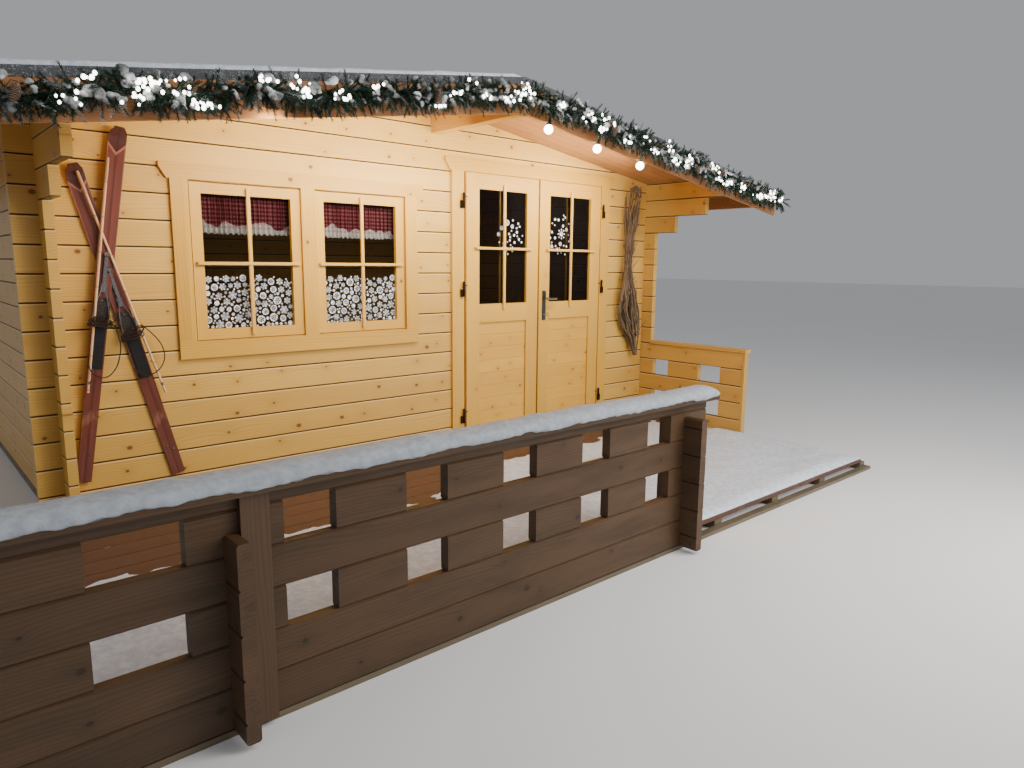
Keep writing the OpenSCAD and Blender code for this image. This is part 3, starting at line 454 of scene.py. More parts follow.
def lace_material():
    """White lace with a net of small holes."""
    board = Board("lace")
    across, down, _ = board.axes(board.node("ShaderNodeUVMap"))
    thread = board.streak(across * 1400.0, down * 1400.0)
    colour = board.mix(thread * 0.4, (0.97, 0.97, 0.96, 1), (0.82, 0.80, 0.79, 1))
    holes = board.cells(across * 190.0, down * 190.0, 5.0, 0.25)
    return board.surface(colour, 0.85, thread, 0.4, 0.0008, alpha=board.fade(holes, 0.16, 0.26))


def fir_material():
    """Dark green foil needles, whitened by the frost held in the mesh."""
    board = Board("fir_needles")
    frost = board.node("ShaderNodeAttribute", {"attribute_name": "frost"}, out="Fac")
    cloud = board.cloud(46.0)
    green = board.mix(cloud, tone(colours().fir, 0.65), tone(colours().fir, 1.8))
    return board.surface(
        board.mix(frost, green, (0.78, 0.82, 0.84, 1)), cloud * 0.2 + 0.45, cloud, 0.1, 0.001)


def ski_material(name, ski):
    """Worn red-brown varnish: the bare ash shows at the edges and in scratches. Past a V near the tip the
    colour is darker, painted shade, with a painted highlight just below the V.
    """
    board = Board(name)
    c, lean = colours().ski, math.radians(ski["lean"])
    x, z = board.x - ski["tail"][0], board.z - ski["tail"][1]
    s = x * math.sin(lean) + z * math.cos(lean)
    t = x * math.cos(lean) - z * math.sin(lean)
    off = board.math("ABSOLUTE", t)
    streak = board.streak(s * 2.2, t * 60.0, board.y * 60.0, 3.0)
    cloud = board.streak(s * 5.0, t * 9.0, 0.3, 4.0, 0.65)
    fine = board.streak(s * 14.0, t * 520.0, board.y * 90.0)
    scuff = board.fade(cloud, 0.60, 0.74) * 0.45
    groove = 1.0 - board.fade(off, 0.003, 0.007)
    # Past a V-shaped line about 30 mm from the end the colour is darkened, painted shade of the upturned
    # tip, and a band about 11 mm wide just below the V is lightened, a painted highlight.
    ahead = s - ski["length"] + 0.030 - off * 1.15
    tip = board.fade(ahead, 0.0, 0.003)
    shoulder = board.fade(ahead, -0.014, -0.011) * (1.0 - tip)
    edge = board.fade(off + cloud * 0.006, 0.036, 0.043) * 0.45
    colour = board.layers(
        tone(c, 1.5), (streak, tone(c, 0.45)), (scuff, (0.36, 0.17, 0.09, 1)),
        (edge, (0.40, 0.22, 0.12, 1)), (groove * 0.4, tone(c, 0.3)),
        (tip * 0.75, tone(c, 0.35)), (shoulder * 0.6, (0.42, 0.20, 0.13, 1)))
    height = fine * 0.4 + streak * 0.4 - groove - tip * 2.0
    return board.surface(colour, scuff * 0.4 + fine * 0.15 + 0.25, height, 0.3, 0.0012,
                         coat_weight=0.35 - scuff * 0.5, coat_roughness=0.18)


def bamboo_material():
    """Pale cane with a dark ring at each knuckle."""
    board = Board("bamboo")
    lift = board.z + board.x * 0.2
    ring = 1.0 - board.fade(board.math("PINGPONG", lift, 0.085), 0.0015, 0.005)
    streak = board.streak(board.x * 160.0, board.y * 160.0, lift * 2.0, 2.0)
    colour = board.layers(
        (0.78, 0.53, 0.31, 1), (streak, (0.58, 0.34, 0.17, 1)), (ring * 0.7, (0.30, 0.15, 0.07, 1)))
    return board.surface(colour, streak * 0.15 + 0.3, ring * 2.0 + streak, 0.4, 0.001)


def bark_material():
    """Dry brown bark, streaked along the shoots."""
    board = Board("dry_bark")
    streak = board.streak(board.x * 130.0, board.y * 130.0, board.z * 16.0, 4.0, 0.65)
    colour = board.ramp(
        streak, (0.28, (0.034, 0.022, 0.013, 1)), (0.48, (0.120, 0.078, 0.045, 1)),
        (0.72, (0.30, 0.22, 0.145, 1)))
    colour = board.mix(board.fade(board.cloud(9.0), 0.4, 0.7) * 0.4, colour, (0.22, 0.14, 0.085, 1))
    return board.surface(colour, streak * 0.1 + 0.72, streak, 0.9, 0.003)


def turns(count, start=0.0):
    """Angles spread evenly over a full turn."""
    return [start + 2 * math.pi * k / count for k in range(count)]


def polygon_tube(rings, sides):
    """Faces of a closed tube whose points run ring by ring, ends included."""
    faces = []
    for i in range(rings - 1):
        for k in range(sides):
            a, b = i * sides + k, i * sides + (k + 1) % sides
            faces.append((a, b, b + sides, a + sides))
    return faces + [tuple(reversed(range(sides))), tuple(range((rings - 1) * sides, rings * sides))]


def lattice(columns, rows, lift=0, flip=False):
    """Four-cornered faces over a grid whose points run column by column."""
    faces = []
    for i in range(columns):
        for j in range(rows):
            a = i * (rows + 1) + j + lift
            b = a + rows + 1
            faces.append((a, a + 1, b + 1, b) if flip else (a, b, b + 1, a + 1))
    return faces


class Shape:
    """Points and faces that grow into one mesh object."""

    def __init__(self):
        self.points = []
        self.faces = []
        self.frost = []
        self.cloth = []

    def add(self, points, faces, frost=None):
        base = len(self.points)
        self.points.extend(points)
        self.faces.extend(tuple(base + i for i in face) for face in faces)
        self.frost.extend(frost or [0.0] * len(points))

    def object(self, name, material, body="hut", slot=None, smooth=True, replaces=()):
        mesh = bpy.data.meshes.new(name)
        mesh.from_pydata([tuple(p) for p in self.points], [], self.faces)
        mesh.validate()
        if any(self.frost):
            layer = mesh.attributes.new("frost", "FLOAT", "POINT")
            layer.data.foreach_set("value", self.frost)
        if self.cloth:
            uv = mesh.uv_layers.new(name="UVMap")
            for loop in mesh.loops:
                uv.data[loop.index].uv = self.cloth[loop.vertex_index]
        if smooth:
            mesh.shade_smooth()
        mesh.materials.append(material)
        made = bpy.data.objects.new(name, mesh)
        bpy.context.scene.collection.objects.link(made)
        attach(made, body)
        if replaces:
            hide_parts(*replaces)
        return made


def square_axes(run):
    """The run as a unit vector, and two axes square to it."""
    run = Vector(run).normalized()
    side = run.orthogonal().normalized()
    return run, side, run.cross(side)


def ring_frames(path):
    """A steady pair of cross axes at each point of a path."""
    frames = []
    side = None
    for i in range(len(path)):
        ahead = (path[min(i + 1, len(path) - 1)] - path[max(i - 1, 0)]).normalized()
        side = (side - ahead * side.dot(ahead)).normalized() if side else ahead.orthogonal().normalized()
        frames.append((side, ahead.cross(side)))
    return frames


def tube(shape, path, radii, sides=8):
    """A closed tube along a path, with one radius or one for each point."""
    path = [Vector(p) for p in path]
    if not isinstance(radii, list):
        radii = [radii] * len(path)
    shape.add([here + side * (math.cos(a) * radius) + up * (math.sin(a) * radius)
               for here, (side, up), radius in zip(path, ring_frames(path), radii) for a in turns(sides)],
              polygon_tube(len(path), sides))


def lathe(shape, foot, axis, profile, sides=20):
    """A turned form: profile lists (height along the axis, radius)."""
    axis, side, up = square_axes(axis)
    shape.add([Vector(foot) + axis * height + (side * math.cos(a) + up * math.sin(a)) * radius
               for height, radius in profile for a in turns(sides)], polygon_tube(len(profile), sides))


def hoop(centre, across, up, parts=24, sweep=2 * math.pi):
    """Points of an arc or a full hoop around centre, from across towards up."""
    return [Vector(centre) + Vector(across) * math.cos(a) + Vector(up) * math.sin(a)
            for a in (sweep * n / parts for n in range(parts + 1))]


def smooth_path(points, parts):
    """A rounded path through the points."""
    path = []
    for i in range(len(points) - 1):
        a, b = points[max(i - 1, 0)], points[i]
        c, d = points[i + 1], points[min(i + 2, len(points) - 1)]
        for k in range(parts):
            t = k / parts
            path.append(0.5 * (2 * b + (c - a) * t + (2 * a - 5 * b + 4 * c - d) * t * t
                               + (3 * b - a - 3 * c + d) * t * t * t))
    return path + [points[-1].copy()]


def add_mesh(shape, mesh, placed):
    """Adds a bmesh with each vertex where placed puts it."""
    mesh.verts.ensure_lookup_table()
    faces = [tuple(v.index for v in face.verts) for face in mesh.faces]
    shape.add([placed(v.co) for v in mesh.verts], faces)
    mesh.free()


def bar(shape, low, high, bevel=0.002, turn=Matrix()):
    """A planed bar with eased edges; turn is a matrix that places it."""
    mesh = bmesh.new()
    size = [h - l for l, h in zip(low, high)]
    middle = [(l + h) / 2 for l, h in zip(low, high)]
    bmesh.ops.create_cube(mesh, size=1.0, matrix=Matrix.Translation(middle) @ Matrix.Diagonal((*size, 1.0)))
    bmesh.ops.bevel(
        mesh, geom=mesh.edges[:], offset=min(bevel, min(size) * 0.45), segments=2, affect="EDGES")
    add_mesh(shape, mesh, lambda co: turn @ co)


def ball(shape, centre, radius, stretch, rng=None):
    """A small rounded lump, uneven where it is given random numbers."""
    mesh = bmesh.new()
    bmesh.ops.create_icosphere(mesh, subdivisions=2, radius=1.0)

    def placed(co):
        swell = radius * (1.0 + (rng.uniform(-0.07, 0.07) if rng else 0.0))
        return centre + Vector([co[i] * stretch[i] * swell for i in range(3)])

    add_mesh(shape, mesh, placed)


def heightfield(shape, xs, ys, top, base):
    """A closed layer over a grid: top(i, j) and base(i, j) give its two faces."""
    columns, rows = len(xs) - 1, len(ys) - 1
    spots = [(i, j) for i in range(columns + 1) for j in range(rows + 1)]
    lift = len(spots)
    faces = lattice(columns, rows) + lattice(columns, rows, lift, flip=True)
    rim = [(i, 0) for i in range(columns + 1)] + [(columns, j) for j in range(1, rows + 1)]
    rim += [(i, rows) for i in range(columns - 1, -1, -1)] + [(0, j) for j in range(rows - 1, 0, -1)]
    for (i, j), (k, m) in zip(rim, rim[1:] + rim[:1]):
        a, b = i * (rows + 1) + j, k * (rows + 1) + m
        faces.append((a, a + lift, b + lift, b))
    shape.add([top(*spot) for spot in spots] + [base(*spot) for spot in spots], faces)


def eased(low, high, step, rim=(0.004, 0.011, 0.022, 0.038, 0.06)):
    """Grid lines that crowd together at both ends."""
    inner = high - low - 2 * rim[-1]
    count = max(2, round(inner / step))
    middle = [low + rim[-1] + inner * k / count for k in range(count + 1)]
    return [low] + [low + r for r in rim[:-1]] + middle + [high - r for r in reversed(rim[:-1])] + [high]


def lumps(x, y=0.0, z=0.0):
    """Smooth noise between about -1 and 1."""
    return noise.noise(Vector((x, y, z)))


def rounded(share):
    """Height of a rounded edge, share of its width in from the rim."""
    return math.sqrt(max(0.0, 1.0 - (1.0 - min(share, 1.0)) ** 2))


# Name, place, aim, width and height, watts, colour.
SOFTBOXES = (
    ("window_light", (-0.75, -2.18, 1.92), (-0.95, -1.5, 1.86), (1.6, 0.14), 30, (1.0, 0.93, 0.80)),
    ("door_light", (0.90, -2.14, 1.94), (0.75, -1.5, 1.86), (1.2, 0.14), 27, (1.0, 0.93, 0.80)),
    ("key_light", (0.2, -5.0, 3.1), (0.3, -1.5, 1.3), (2.2, 2.2), 74, (1.0, 0.94, 0.84)),
    ("front_light", (1.5, -10.0, 5.2), (0.8, -1.5, 1.2), (5.0, 5.0), 90, (1.0, 0.97, 0.93)),
    ("side_light", (4.6, -8.6, 3.6), (0.0, -3.0, 0.8), (3.6, 3.6), 190, (0.95, 0.97, 1.0)),
    ("rail_light", (1.5, -5.8, 1.6), (0.2, -3.5, 0.4), (1.6, 1.6), 52, (1.0, 0.98, 0.95)))


class StageMaker(bpy.types.Operator):
    """Camera at the photographed view, pale floor and soft studio light"""

    bl_idname = "hut.stage"
    bl_label = "Stage and camera"

    def execute(self, context):
        def place(name, data):
            made = bpy.data.objects.new(name, data)
            context.scene.collection.objects.link(made)
            return made

        pitch, yaw, roll = (math.radians(a) for a in TILTS)
        look = Matrix.Rotation(roll, 3, "Z") @ Matrix.Rotation(pitch, 3, "X") @ Matrix.Rotation(yaw, 3, "Y")
        look = look @ Matrix(((1, 0, 0), (0, 0, -1), (0, 1, 0)))
        turn = Matrix((look[0], -look[1], -look[2])).transposed()
        data = bpy.data.cameras.new("photo_camera")
        data.lens, data.sensor_width, data.clip_end = LENS, 36.0, 200.0
        camera = place("photo_camera", data)
        camera.matrix_world = Matrix.Translation(EYE) @ turn.to_4x4()
        context.scene.camera = camera

        board = Board("studio_floor")
        pale = board.mix(board.cloud(0.7), (0.80, 0.80, 0.81, 1), (0.84, 0.84, 0.84, 1))
        mesh = bpy.data.meshes.new("studio_floor")
        r, z = 60.0, -0.001
        mesh.from_pydata([(-r, -r, z), (r, -r, z), (r, r, z), (-r, r, z)], [], [(0, 1, 2, 3)])
        mesh.materials.append(board.surface(pale, 0.9))
        place("studio_floor", mesh)

        world = bpy.data.worlds.new("studio")
        world.use_nodes = True
        backdrop = world.node_tree.nodes["Background"]
        backdrop.inputs["Color"].default_value = (0.86, 0.88, 0.91, 1)
        backdrop.inputs["Strength"].default_value = 0.42
        context.scene.world = world
        for name, spot, aim, size, power, colour in SOFTBOXES:
            light = bpy.data.lights.new(name, "AREA")
            light.shape = "RECTANGLE"
            light.size, light.size_y = size
            light.energy, light.color = power, colour
            lamp = place(name, light)
            lamp.location = spot
            lamp.rotation_euler = (Vector(aim) - Vector(spot)).to_track_quat("-Z", "Y").to_euler()
            lamp.visible_camera = lamp.visible_glossy = False
        return {"FINISHED"}


def dress(material, *nodes):
    """Gives carried-over CAD nodes their finish."""
    for node in nodes:
        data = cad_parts[node].data
        data.materials.clear()
        data.materials.append(material)


class FinishMaker(bpy.types.Operator):
    """Wood, felt, glass and metal finishes on every carcass part"""

    bl_idname = "hut.finishes"
    bl_label = "Carcass finishes"

    def execute(self, context):
        self.carcass(colours())
        self.joinery(colours())
        self.terrace(colours())
        return {"FINISHED"}

    def carcass(self, c):
        light, deep = tone(c.pine_light), tone(c.pine_deep)
        honey = tone(c.soffit, 1.12), tone(c.soffit, 0.62)
        dress(wood("front_logs", "X", light, deep, start=BASE_Z + LOG_H / 2, seam=LOG_SEAM),
              "front_wall_left", "front_wall_right", "front_gable", "back_wall")
        dress(wood("side_logs", "Y", tone(c.pine_light, 0.97), deep, seam=LOG_SEAM),
              "left_wall", "right_wall", "side_railing")
        dress(wood("purlin", "Y", light, deep, 0.4, 0.0), "ridge_purlin")
        dress(wood("roof_boards", "X", *honey, 0.09, 0.0, seam=0.004, flat=True, knots=0.35),
              "roof_boards_left", "roof_boards_right")
        dress(wood("fascia_boards", "X", *honey, 2.0, 0.0, knots=0.6), "front_fascia", "back_fascia")
        dress(wood("eaves", "Y", *honey, 2.0, 0.0), "eaves_boards")
        dress(felt_material(), "roof_felt")
        dress(wood("floor_boards", "X", (0.60, 0.40, 0.18, 1), (0.42, 0.24, 0.09, 1), 0.12, 0.0, 0.003,
                   flat=True), "floor_boards")
        dress(wood("treated_bearers", "X", (0.16, 0.125, 0.075, 1), (0.085, 0.062, 0.035, 1), wear=0.5,
                   heart=(0.03, 0.02, 0.012, 1)), "floor_bearers", "terrace_joists")
        dress(wood("side_cap", "Y", light, deep, 1.0, 0.0, coat=0.1), "side_railing_cap")

    def joinery(self, c):
        pale, late = ([v * share for v, share in zip(pine, (0.96, 0.90, 0.62))]
                      for pine in (c.pine_light, c.pine_deep))

        def lacquered(name, by_pale, by_late, upright=(), pitch=0.8, start=0.0, **more):
            return wood(name, "X", tone(pale, by_pale), tone(late, by_late), pitch, start, upright=upright,
                        **({"coat": 0.2, "rough": 0.38} | more))

        z0, z1 = SASH_Z
        stiles = []
        for x0, x1 in SASHES:
            stiles += [(x0, x0 + SASH_FRAME, z0, z1), (x1 - SASH_FRAME, x1, z0, z1)]
        dress(lacquered("sash_pine", 1.05, 1.12, stiles, coat=0.25, rough=0.36, knot_size=0.9),
              "window_sash_left", "window_sash_right")
        posts = [(x0, x1, 0.97, 1.80) for x0, x1 in ((-1.72, -1.56), (-0.960, -0.868), (-0.262, -0.10))]
        dress(lacquered("casing_pine", 1.0, 1.05, posts), "window_frame", "window_casing")
        jambs = [(0.0, 0.26, 0.0, 2.0), (1.56, 1.8, 0.0, 2.0)]
        dress(lacquered("door_surround_pine", 1.0, 1.05, jambs), "door_frame", "door_casing")
        dress(wood("threshold", "X", tone(late, 0.9), tone(late, 0.5), 1.0, 0.0, wear=0.5),
              "door_threshold")
        for body, x0, x1 in LEAVES:
            side = body.split("_")[0]
            rails = [(x0 - 0.01, x0 + LEAF_STILE, 0.0, 2.1), (x1 - LEAF_STILE, x1 + 0.03, 0.0, 2.1)]
            dress(lacquered(f"{body}_pine", 1.02, 1.08, rails, knots=0.75), f"door_{side}_frame")
            dress(lacquered(f"{body}_panel", 1.08, 1.2, pitch=0.092, start=0.24, knots=0.85, knot_size=0.8),
                  f"door_{side}_panel")
        dress(glass_material(), "window_glass", "door_left_glass", "door_right_glass")
        dress(plain_material("hinge_iron", (0.030, 0.026, 0.022), 0.42, 0.85, bump=0.3,
                             second=(0.10, 0.045, 0.02, 1)),
              "door_hinge_pins", "door_left_hinges", "door_right_hinges")
        dress(plain_material("handle_plate", (0.17, 0.17, 0.165), 0.34, 1.0, scale=420.0),
              "door_handle_plates")
        dress(plain_material("handle_steel", (0.46, 0.45, 0.43), 0.26, 1.0, scale=420.0),
              "door_handle_lever")

    def terrace(self, c):
        r = c.railing
        # The railing colour is weathered wood darkened further as painted shade; the rail, its stubs and
        # the end boards left of x = 1.0 all take it.
        old = {"start": RAIL_Z, "heart": tone(r, 0.32), "wear_colour": (0.045, 0.030, 0.018, 1),
               "rough": 0.55, "bump": 0.5}
        dress(wood("weathered_and_shaded_rail", "X", tone(r, 1.35), tone(r, 0.62), knots=0.6, wear=0.55, **old),
              "front_railing", "front_railing_cap")
        dress(wood("weathered_and_shaded_stub_rail", "Y", tone(r, 1.45), tone(r, 0.66), wear=0.45, **old), "railing_stubs")
        dress(wood("end_boards", "Z", tone(c.pine_light), tone(c.pine_deep), 1.0, 0.0,
                   aged=(1.0, tone(r, 1.5), tone(r, 0.7))), "railing_end_boards")
        dress(deck_material(), "terrace_deck")
        dress(ski_material("ski_varnish_upper", UPPER_SKI), "ski_upper")
        dress(ski_material("ski_varnish_lower", LOWER_SKI), "ski_lower")
        dress(bamboo_material(), "ski_poles")


class BarMaker(bpy.types.Operator):
    """Thin pine crosses in front of the window and door lights, and an upright behind each door light"""

    bl_idname = "hut.glazing_bars"
    bl_label = "Glazing bars"

    def execute(self, context):
        half, lap, c = sizes().bar_width / 2, sizes().bar_lap, colours()
        thin, ease, gap = half * 0.8, 0.003, 0.0002

        def cross(name, body, x0, x1, z0, z1, face):
            shape, middle, level = Shape(), (x0 + x1) / 2, (z0 + z1) / 2 - 0.006
            bar(shape, (middle - half, face - 0.014, z0 - lap), (middle + half, face - gap, z1 + lap), ease)
            bar(shape, (x0 - lap, face - 0.020, level - thin),
                (x1 + lap, face - 2 * gap, level + thin), ease)
            pine = wood(name + "_pine", "X", tone(c.pine_light, 1.05), tone(c.pine_deep, 1.1), 1.0, 0.0,
                        knots=0.2, upright=[(middle - half, middle + half, 0.0, 3.0)], coat=0.2)
            shape.object(name, pine, body, "joinery", smooth=False)

        for side, (x0, x1) in zip(("left", "right"), SASHES):
            cross(f"window_bars_{side}", "hut", x0 + SASH_FRAME, x1 - SASH_FRAME,
                  SASH_Z[0] + SASH_FRAME, SASH_Z[1] - SASH_FRAME, SASH_FACE_Y)
        back, (z0, z1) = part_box("door_left_frame")[1].y, LEAF_LIGHT_Z
        for body, x0, x1 in LEAVES:
            cross(f"door_bars_{body}", body, x0 + LEAF_STILE, x1 - LEAF_STILE, z0, z1, LEAF_FACE_Y)
            shape, middle, name = Shape(), (x0 + x1) / 2, f"inner_bar_{body}"
            bar(shape, (middle - thin, back + gap, z0 - lap),
                (middle + thin, back + gap + 0.012, z1 + lap), ease)
            pine = wood(name, "Z", tone(c.pine_light), tone(c.pine_deep), 1.0, 0.0, knots=0.2)
            shape.object(name, pine, body, "joinery", smooth=False)
        return {"FINISHED"}


class CurtainMaker(bpy.types.Operator):
    """Short gathered gingham curtains with a zigzag lace edge behind each window light"""

    bl_idname = "hut.curtains"
    bl_label = "Short curtains"

    def execute(self, context):
        drop = sizes().valance_drop
        gingham, lace = gingham_material(), lace_material()
        rng = random.Random(11)
        columns, lace_h, rod_y, top = 420, 0.030, -1.4325, SASH_Z[1] - 0.004
        stop = 1.0 - lace_h / drop
        hidden = ["window_curtains"]
        for side, (x0, x1) in zip(("left", "right"), SASHES):
            low, high = x0 + 0.02, x1 - 0.02
            folds = [rng.uniform(0.8, 1.25) for _ in range(40)]
            phase, line = 0.0, []
            for i in range(columns + 1):
                s = i / columns
                phase += folds[int(s * 30) % 40] * 0.30
                depth = math.sin(phase) * (0.0075 + 0.0025 * math.sin(s * 23.0 + 1.0))
                line.append((low + (high - low) * s, depth))
            run = [0.0]
            for start, end in zip(line, line[1:]):
                run.append(run[-1] + math.dist(start, end))

            def strip(rows, forward, fallen):
                """A strip of cloth; fallen(i, j) is how far down a point hangs."""
                cloth = Shape()
                for i, (x, depth) in enumerate(line):
                    for j in range(rows + 1):
                        t = fallen(i, j)
                        y = rod_y + depth * (0.55 + 0.45 * t) - forward
                        cloth.points.append((x, y, top - drop * t))
                        cloth.cloth.append((run[i], drop * t))
                cloth.faces = lattice(columns, rows, flip=True)
                return cloth

            def scalloped(i, j):
                scallop = abs(run[i] / 0.042 % 1.0 - 0.5) * 0.026
                return stop - 0.01 + (1.0 - stop + 0.01 - scallop / drop) * j / 3

            panel = strip(14, 0.0, lambda i, j: stop * j / 14).object(
                f"curtain_{side}", gingham, slot="curtains", replaces=hidden)
            hidden = []
            trim = strip(3, 0.0012, scalloped).object(f"curtain_lace_{side}", lace, slot="curtains")
        return {"FINISHED"}


def flake(shape, x, z, y, radius, kind, turn):
    """One flat paper snowflake on the front of a pane."""
    def at(r, a):
        return Vector((x + radius * r * math.cos(a + turn), y, z + radius * r * math.sin(a + turn)))

    def blade(*corners):
        shape.add([at(r, a) for r, a in corners], [tuple(range(len(corners)))])

    def disc(r, count, start=0.0):
        blade(*((r, a) for a in turns(count, start)))

    if kind == "dot":
        disc(1.0, 8)
    elif kind == "rays":
        disc(0.30, 16)
        for k, a in enumerate(turns(8)):
            blade((0.28, a - 0.30), (0.62, a - 0.07), (0.62, a + 0.07), (0.28, a + 0.30))
            middle = at(0.80 if k % 2 else 0.86, a)
            shape.add([middle + Vector((math.cos(b), 0, math.sin(b))) * radius * 0.13 for b in turns(10)],
                      [tuple(range(10))])
    elif kind == "round":
        rim = [at(0.86 + 0.14 * (k % 2), a) for k, a in enumerate(turns(24))]
        shape.add(rim + [at(0.62, a) for a in turns(24)],
                  [(k, (k + 1) % 24, 24 + (k + 1) % 24, 24 + k) for k in range(24)])
        for a in turns(6):
            blade((0.10, a + 1.2), (0.10, a - 1.2), (0.66, a - 0.11), (0.66, a + 0.11))
        disc(0.26, 6)
    else:
        for a in turns(6):
            blade((0.10, a + 1.4), (0.10, a - 1.4), (1.0, a - 0.09), (1.0, a + 0.09))
            for reach, bend in ((0.45, 0.42), (0.70, 0.28)):
                for lean in (-bend, bend):
                    foot, tip = at(reach, a), at(reach + 0.20, a + lean)
                    along = (tip - foot).normalized()
                    side = Vector((-along.z, 0, along.x)) * radius * 0.075
                    shape.add([foot - side, foot + side, tip + side, tip - side], [(0, 1, 2, 3)])
        disc(0.20, 6, 0.5)


def strew(rng, spots, inside, wanted, span, gap):
    """Packs circles: the large ones first, none over another."""
    for radius, count in wanted:
        tries = 0
        while count and tries < 4000:
            tries += 1
            x, z = rng.uniform(*span[0]), rng.uniform(*span[1])
            if inside(x, z, radius) and all(
                    math.hypot(x - a, z - b) > radius + r + gap for a, b, r in spots):
                spots.append((x, z, radius))
                count -= 1
    return spots


class FlakeMaker(bpy.types.Operator):
    """White paper snowflakes on the front of the window panes and the door panes"""

    bl_idname = "hut.snowflakes"
    bl_label = "Paper snowflakes"

    def execute(self, context):
        rng = random.Random(5)
        board = Board("flake_paper")
        paper = board.surface(board.layers(
            (0.40, 0.43, 0.47, 1), (board.fade(board.cloud(60.0), 0.35, 0.65), (0.86, 0.88, 0.90, 1))), 0.6)
        self.window(rng, paper)
        self.door(rng, paper)
        return {"FINISHED"}

    def window(self, rng, paper):
        shape = Shape()
        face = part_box("window_glass")[0].y - 0.0005
        z0, z1 = SASH_Z[0] + SASH_FRAME, SASH_Z[1] - SASH_FRAME
        top = (z0 + z1) / 2 - 0.090
        for x0, x1 in SASHES:
            x0, x1 = x0 + SASH_FRAME, x1 - SASH_FRAME
            rough_top = [rng.uniform(-0.014, 0.014) for _ in range(14)]

            def inside(x, z, r):
                edge = top + rough_top[int((x - x0) / (x1 - x0) * 13.9)]
                return x0 + r * 0.6 < x < x1 - r * 0.6 and z0 + r * 0.7 < z < edge - r * 0.3

            wanted = ((0.025, 9), (0.020, 34), (0.014, 60), (0.0085, 60), (0.005, 50))
            for x, z, r in strew(rng, [], inside, wanted, ((x0, x1), (z0, top + 0.03)), 0.0030):
                kinds = ("round", "star", "star") if r > 0.014 else ("star", "dot")
                kind = "dot" if r < 0.008 else rng.choice(kinds)
                flake(shape, x, z, face, r, kind, rng.uniform(0, 1))
        shape.object("window_snowflakes", paper, "hut", smooth=False)

    def door(self, rng, paper):
        level = sum(LEAF_LIGHT_Z) / 2
        wanted = ((0.0155, 3), (0.0105, 7), (0.0080, 12), (0.0062, 10))
        for (body, x0, x1), shift, rise, tall, largest in zip(
                LEAVES, (0.085, -0.085), (0.075, 0.105), (0.125, 0.160), (((0.022, 1),), ())):
            shape = Shape()
            x0, x1 = x0 + LEAF_STILE, x1 - LEAF_STILE
            hx, hz = (x0 + x1) / 2 + shift, level + rise
            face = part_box(f"door_{body.split('_')[0]}_glass")[0].y - 0.0005

            def near(x, z, r):
                dx, dz = (x - hx) / 0.125, (z - hz) / tall
                return x0 + r < x < x1 - r and dx * dx + dz * dz < 1.0

            first = [] if largest else [(hx + 0.002, level + 0.118, 0.042)]
            span = ((x0, x1), (level - 0.06, level + 0.29))
            for x, z, r in strew(rng, first, near, largest + wanted, span, 0.006):
                kind = "dot" if r < 0.014 else rng.choice(("round", "star"))
                flake(shape, x, z, face, r, "rays" if r > 0.03 else kind, rng.uniform(0, 1))
            shape.object(f"door_snowflakes_{body}", paper, body, smooth=False)


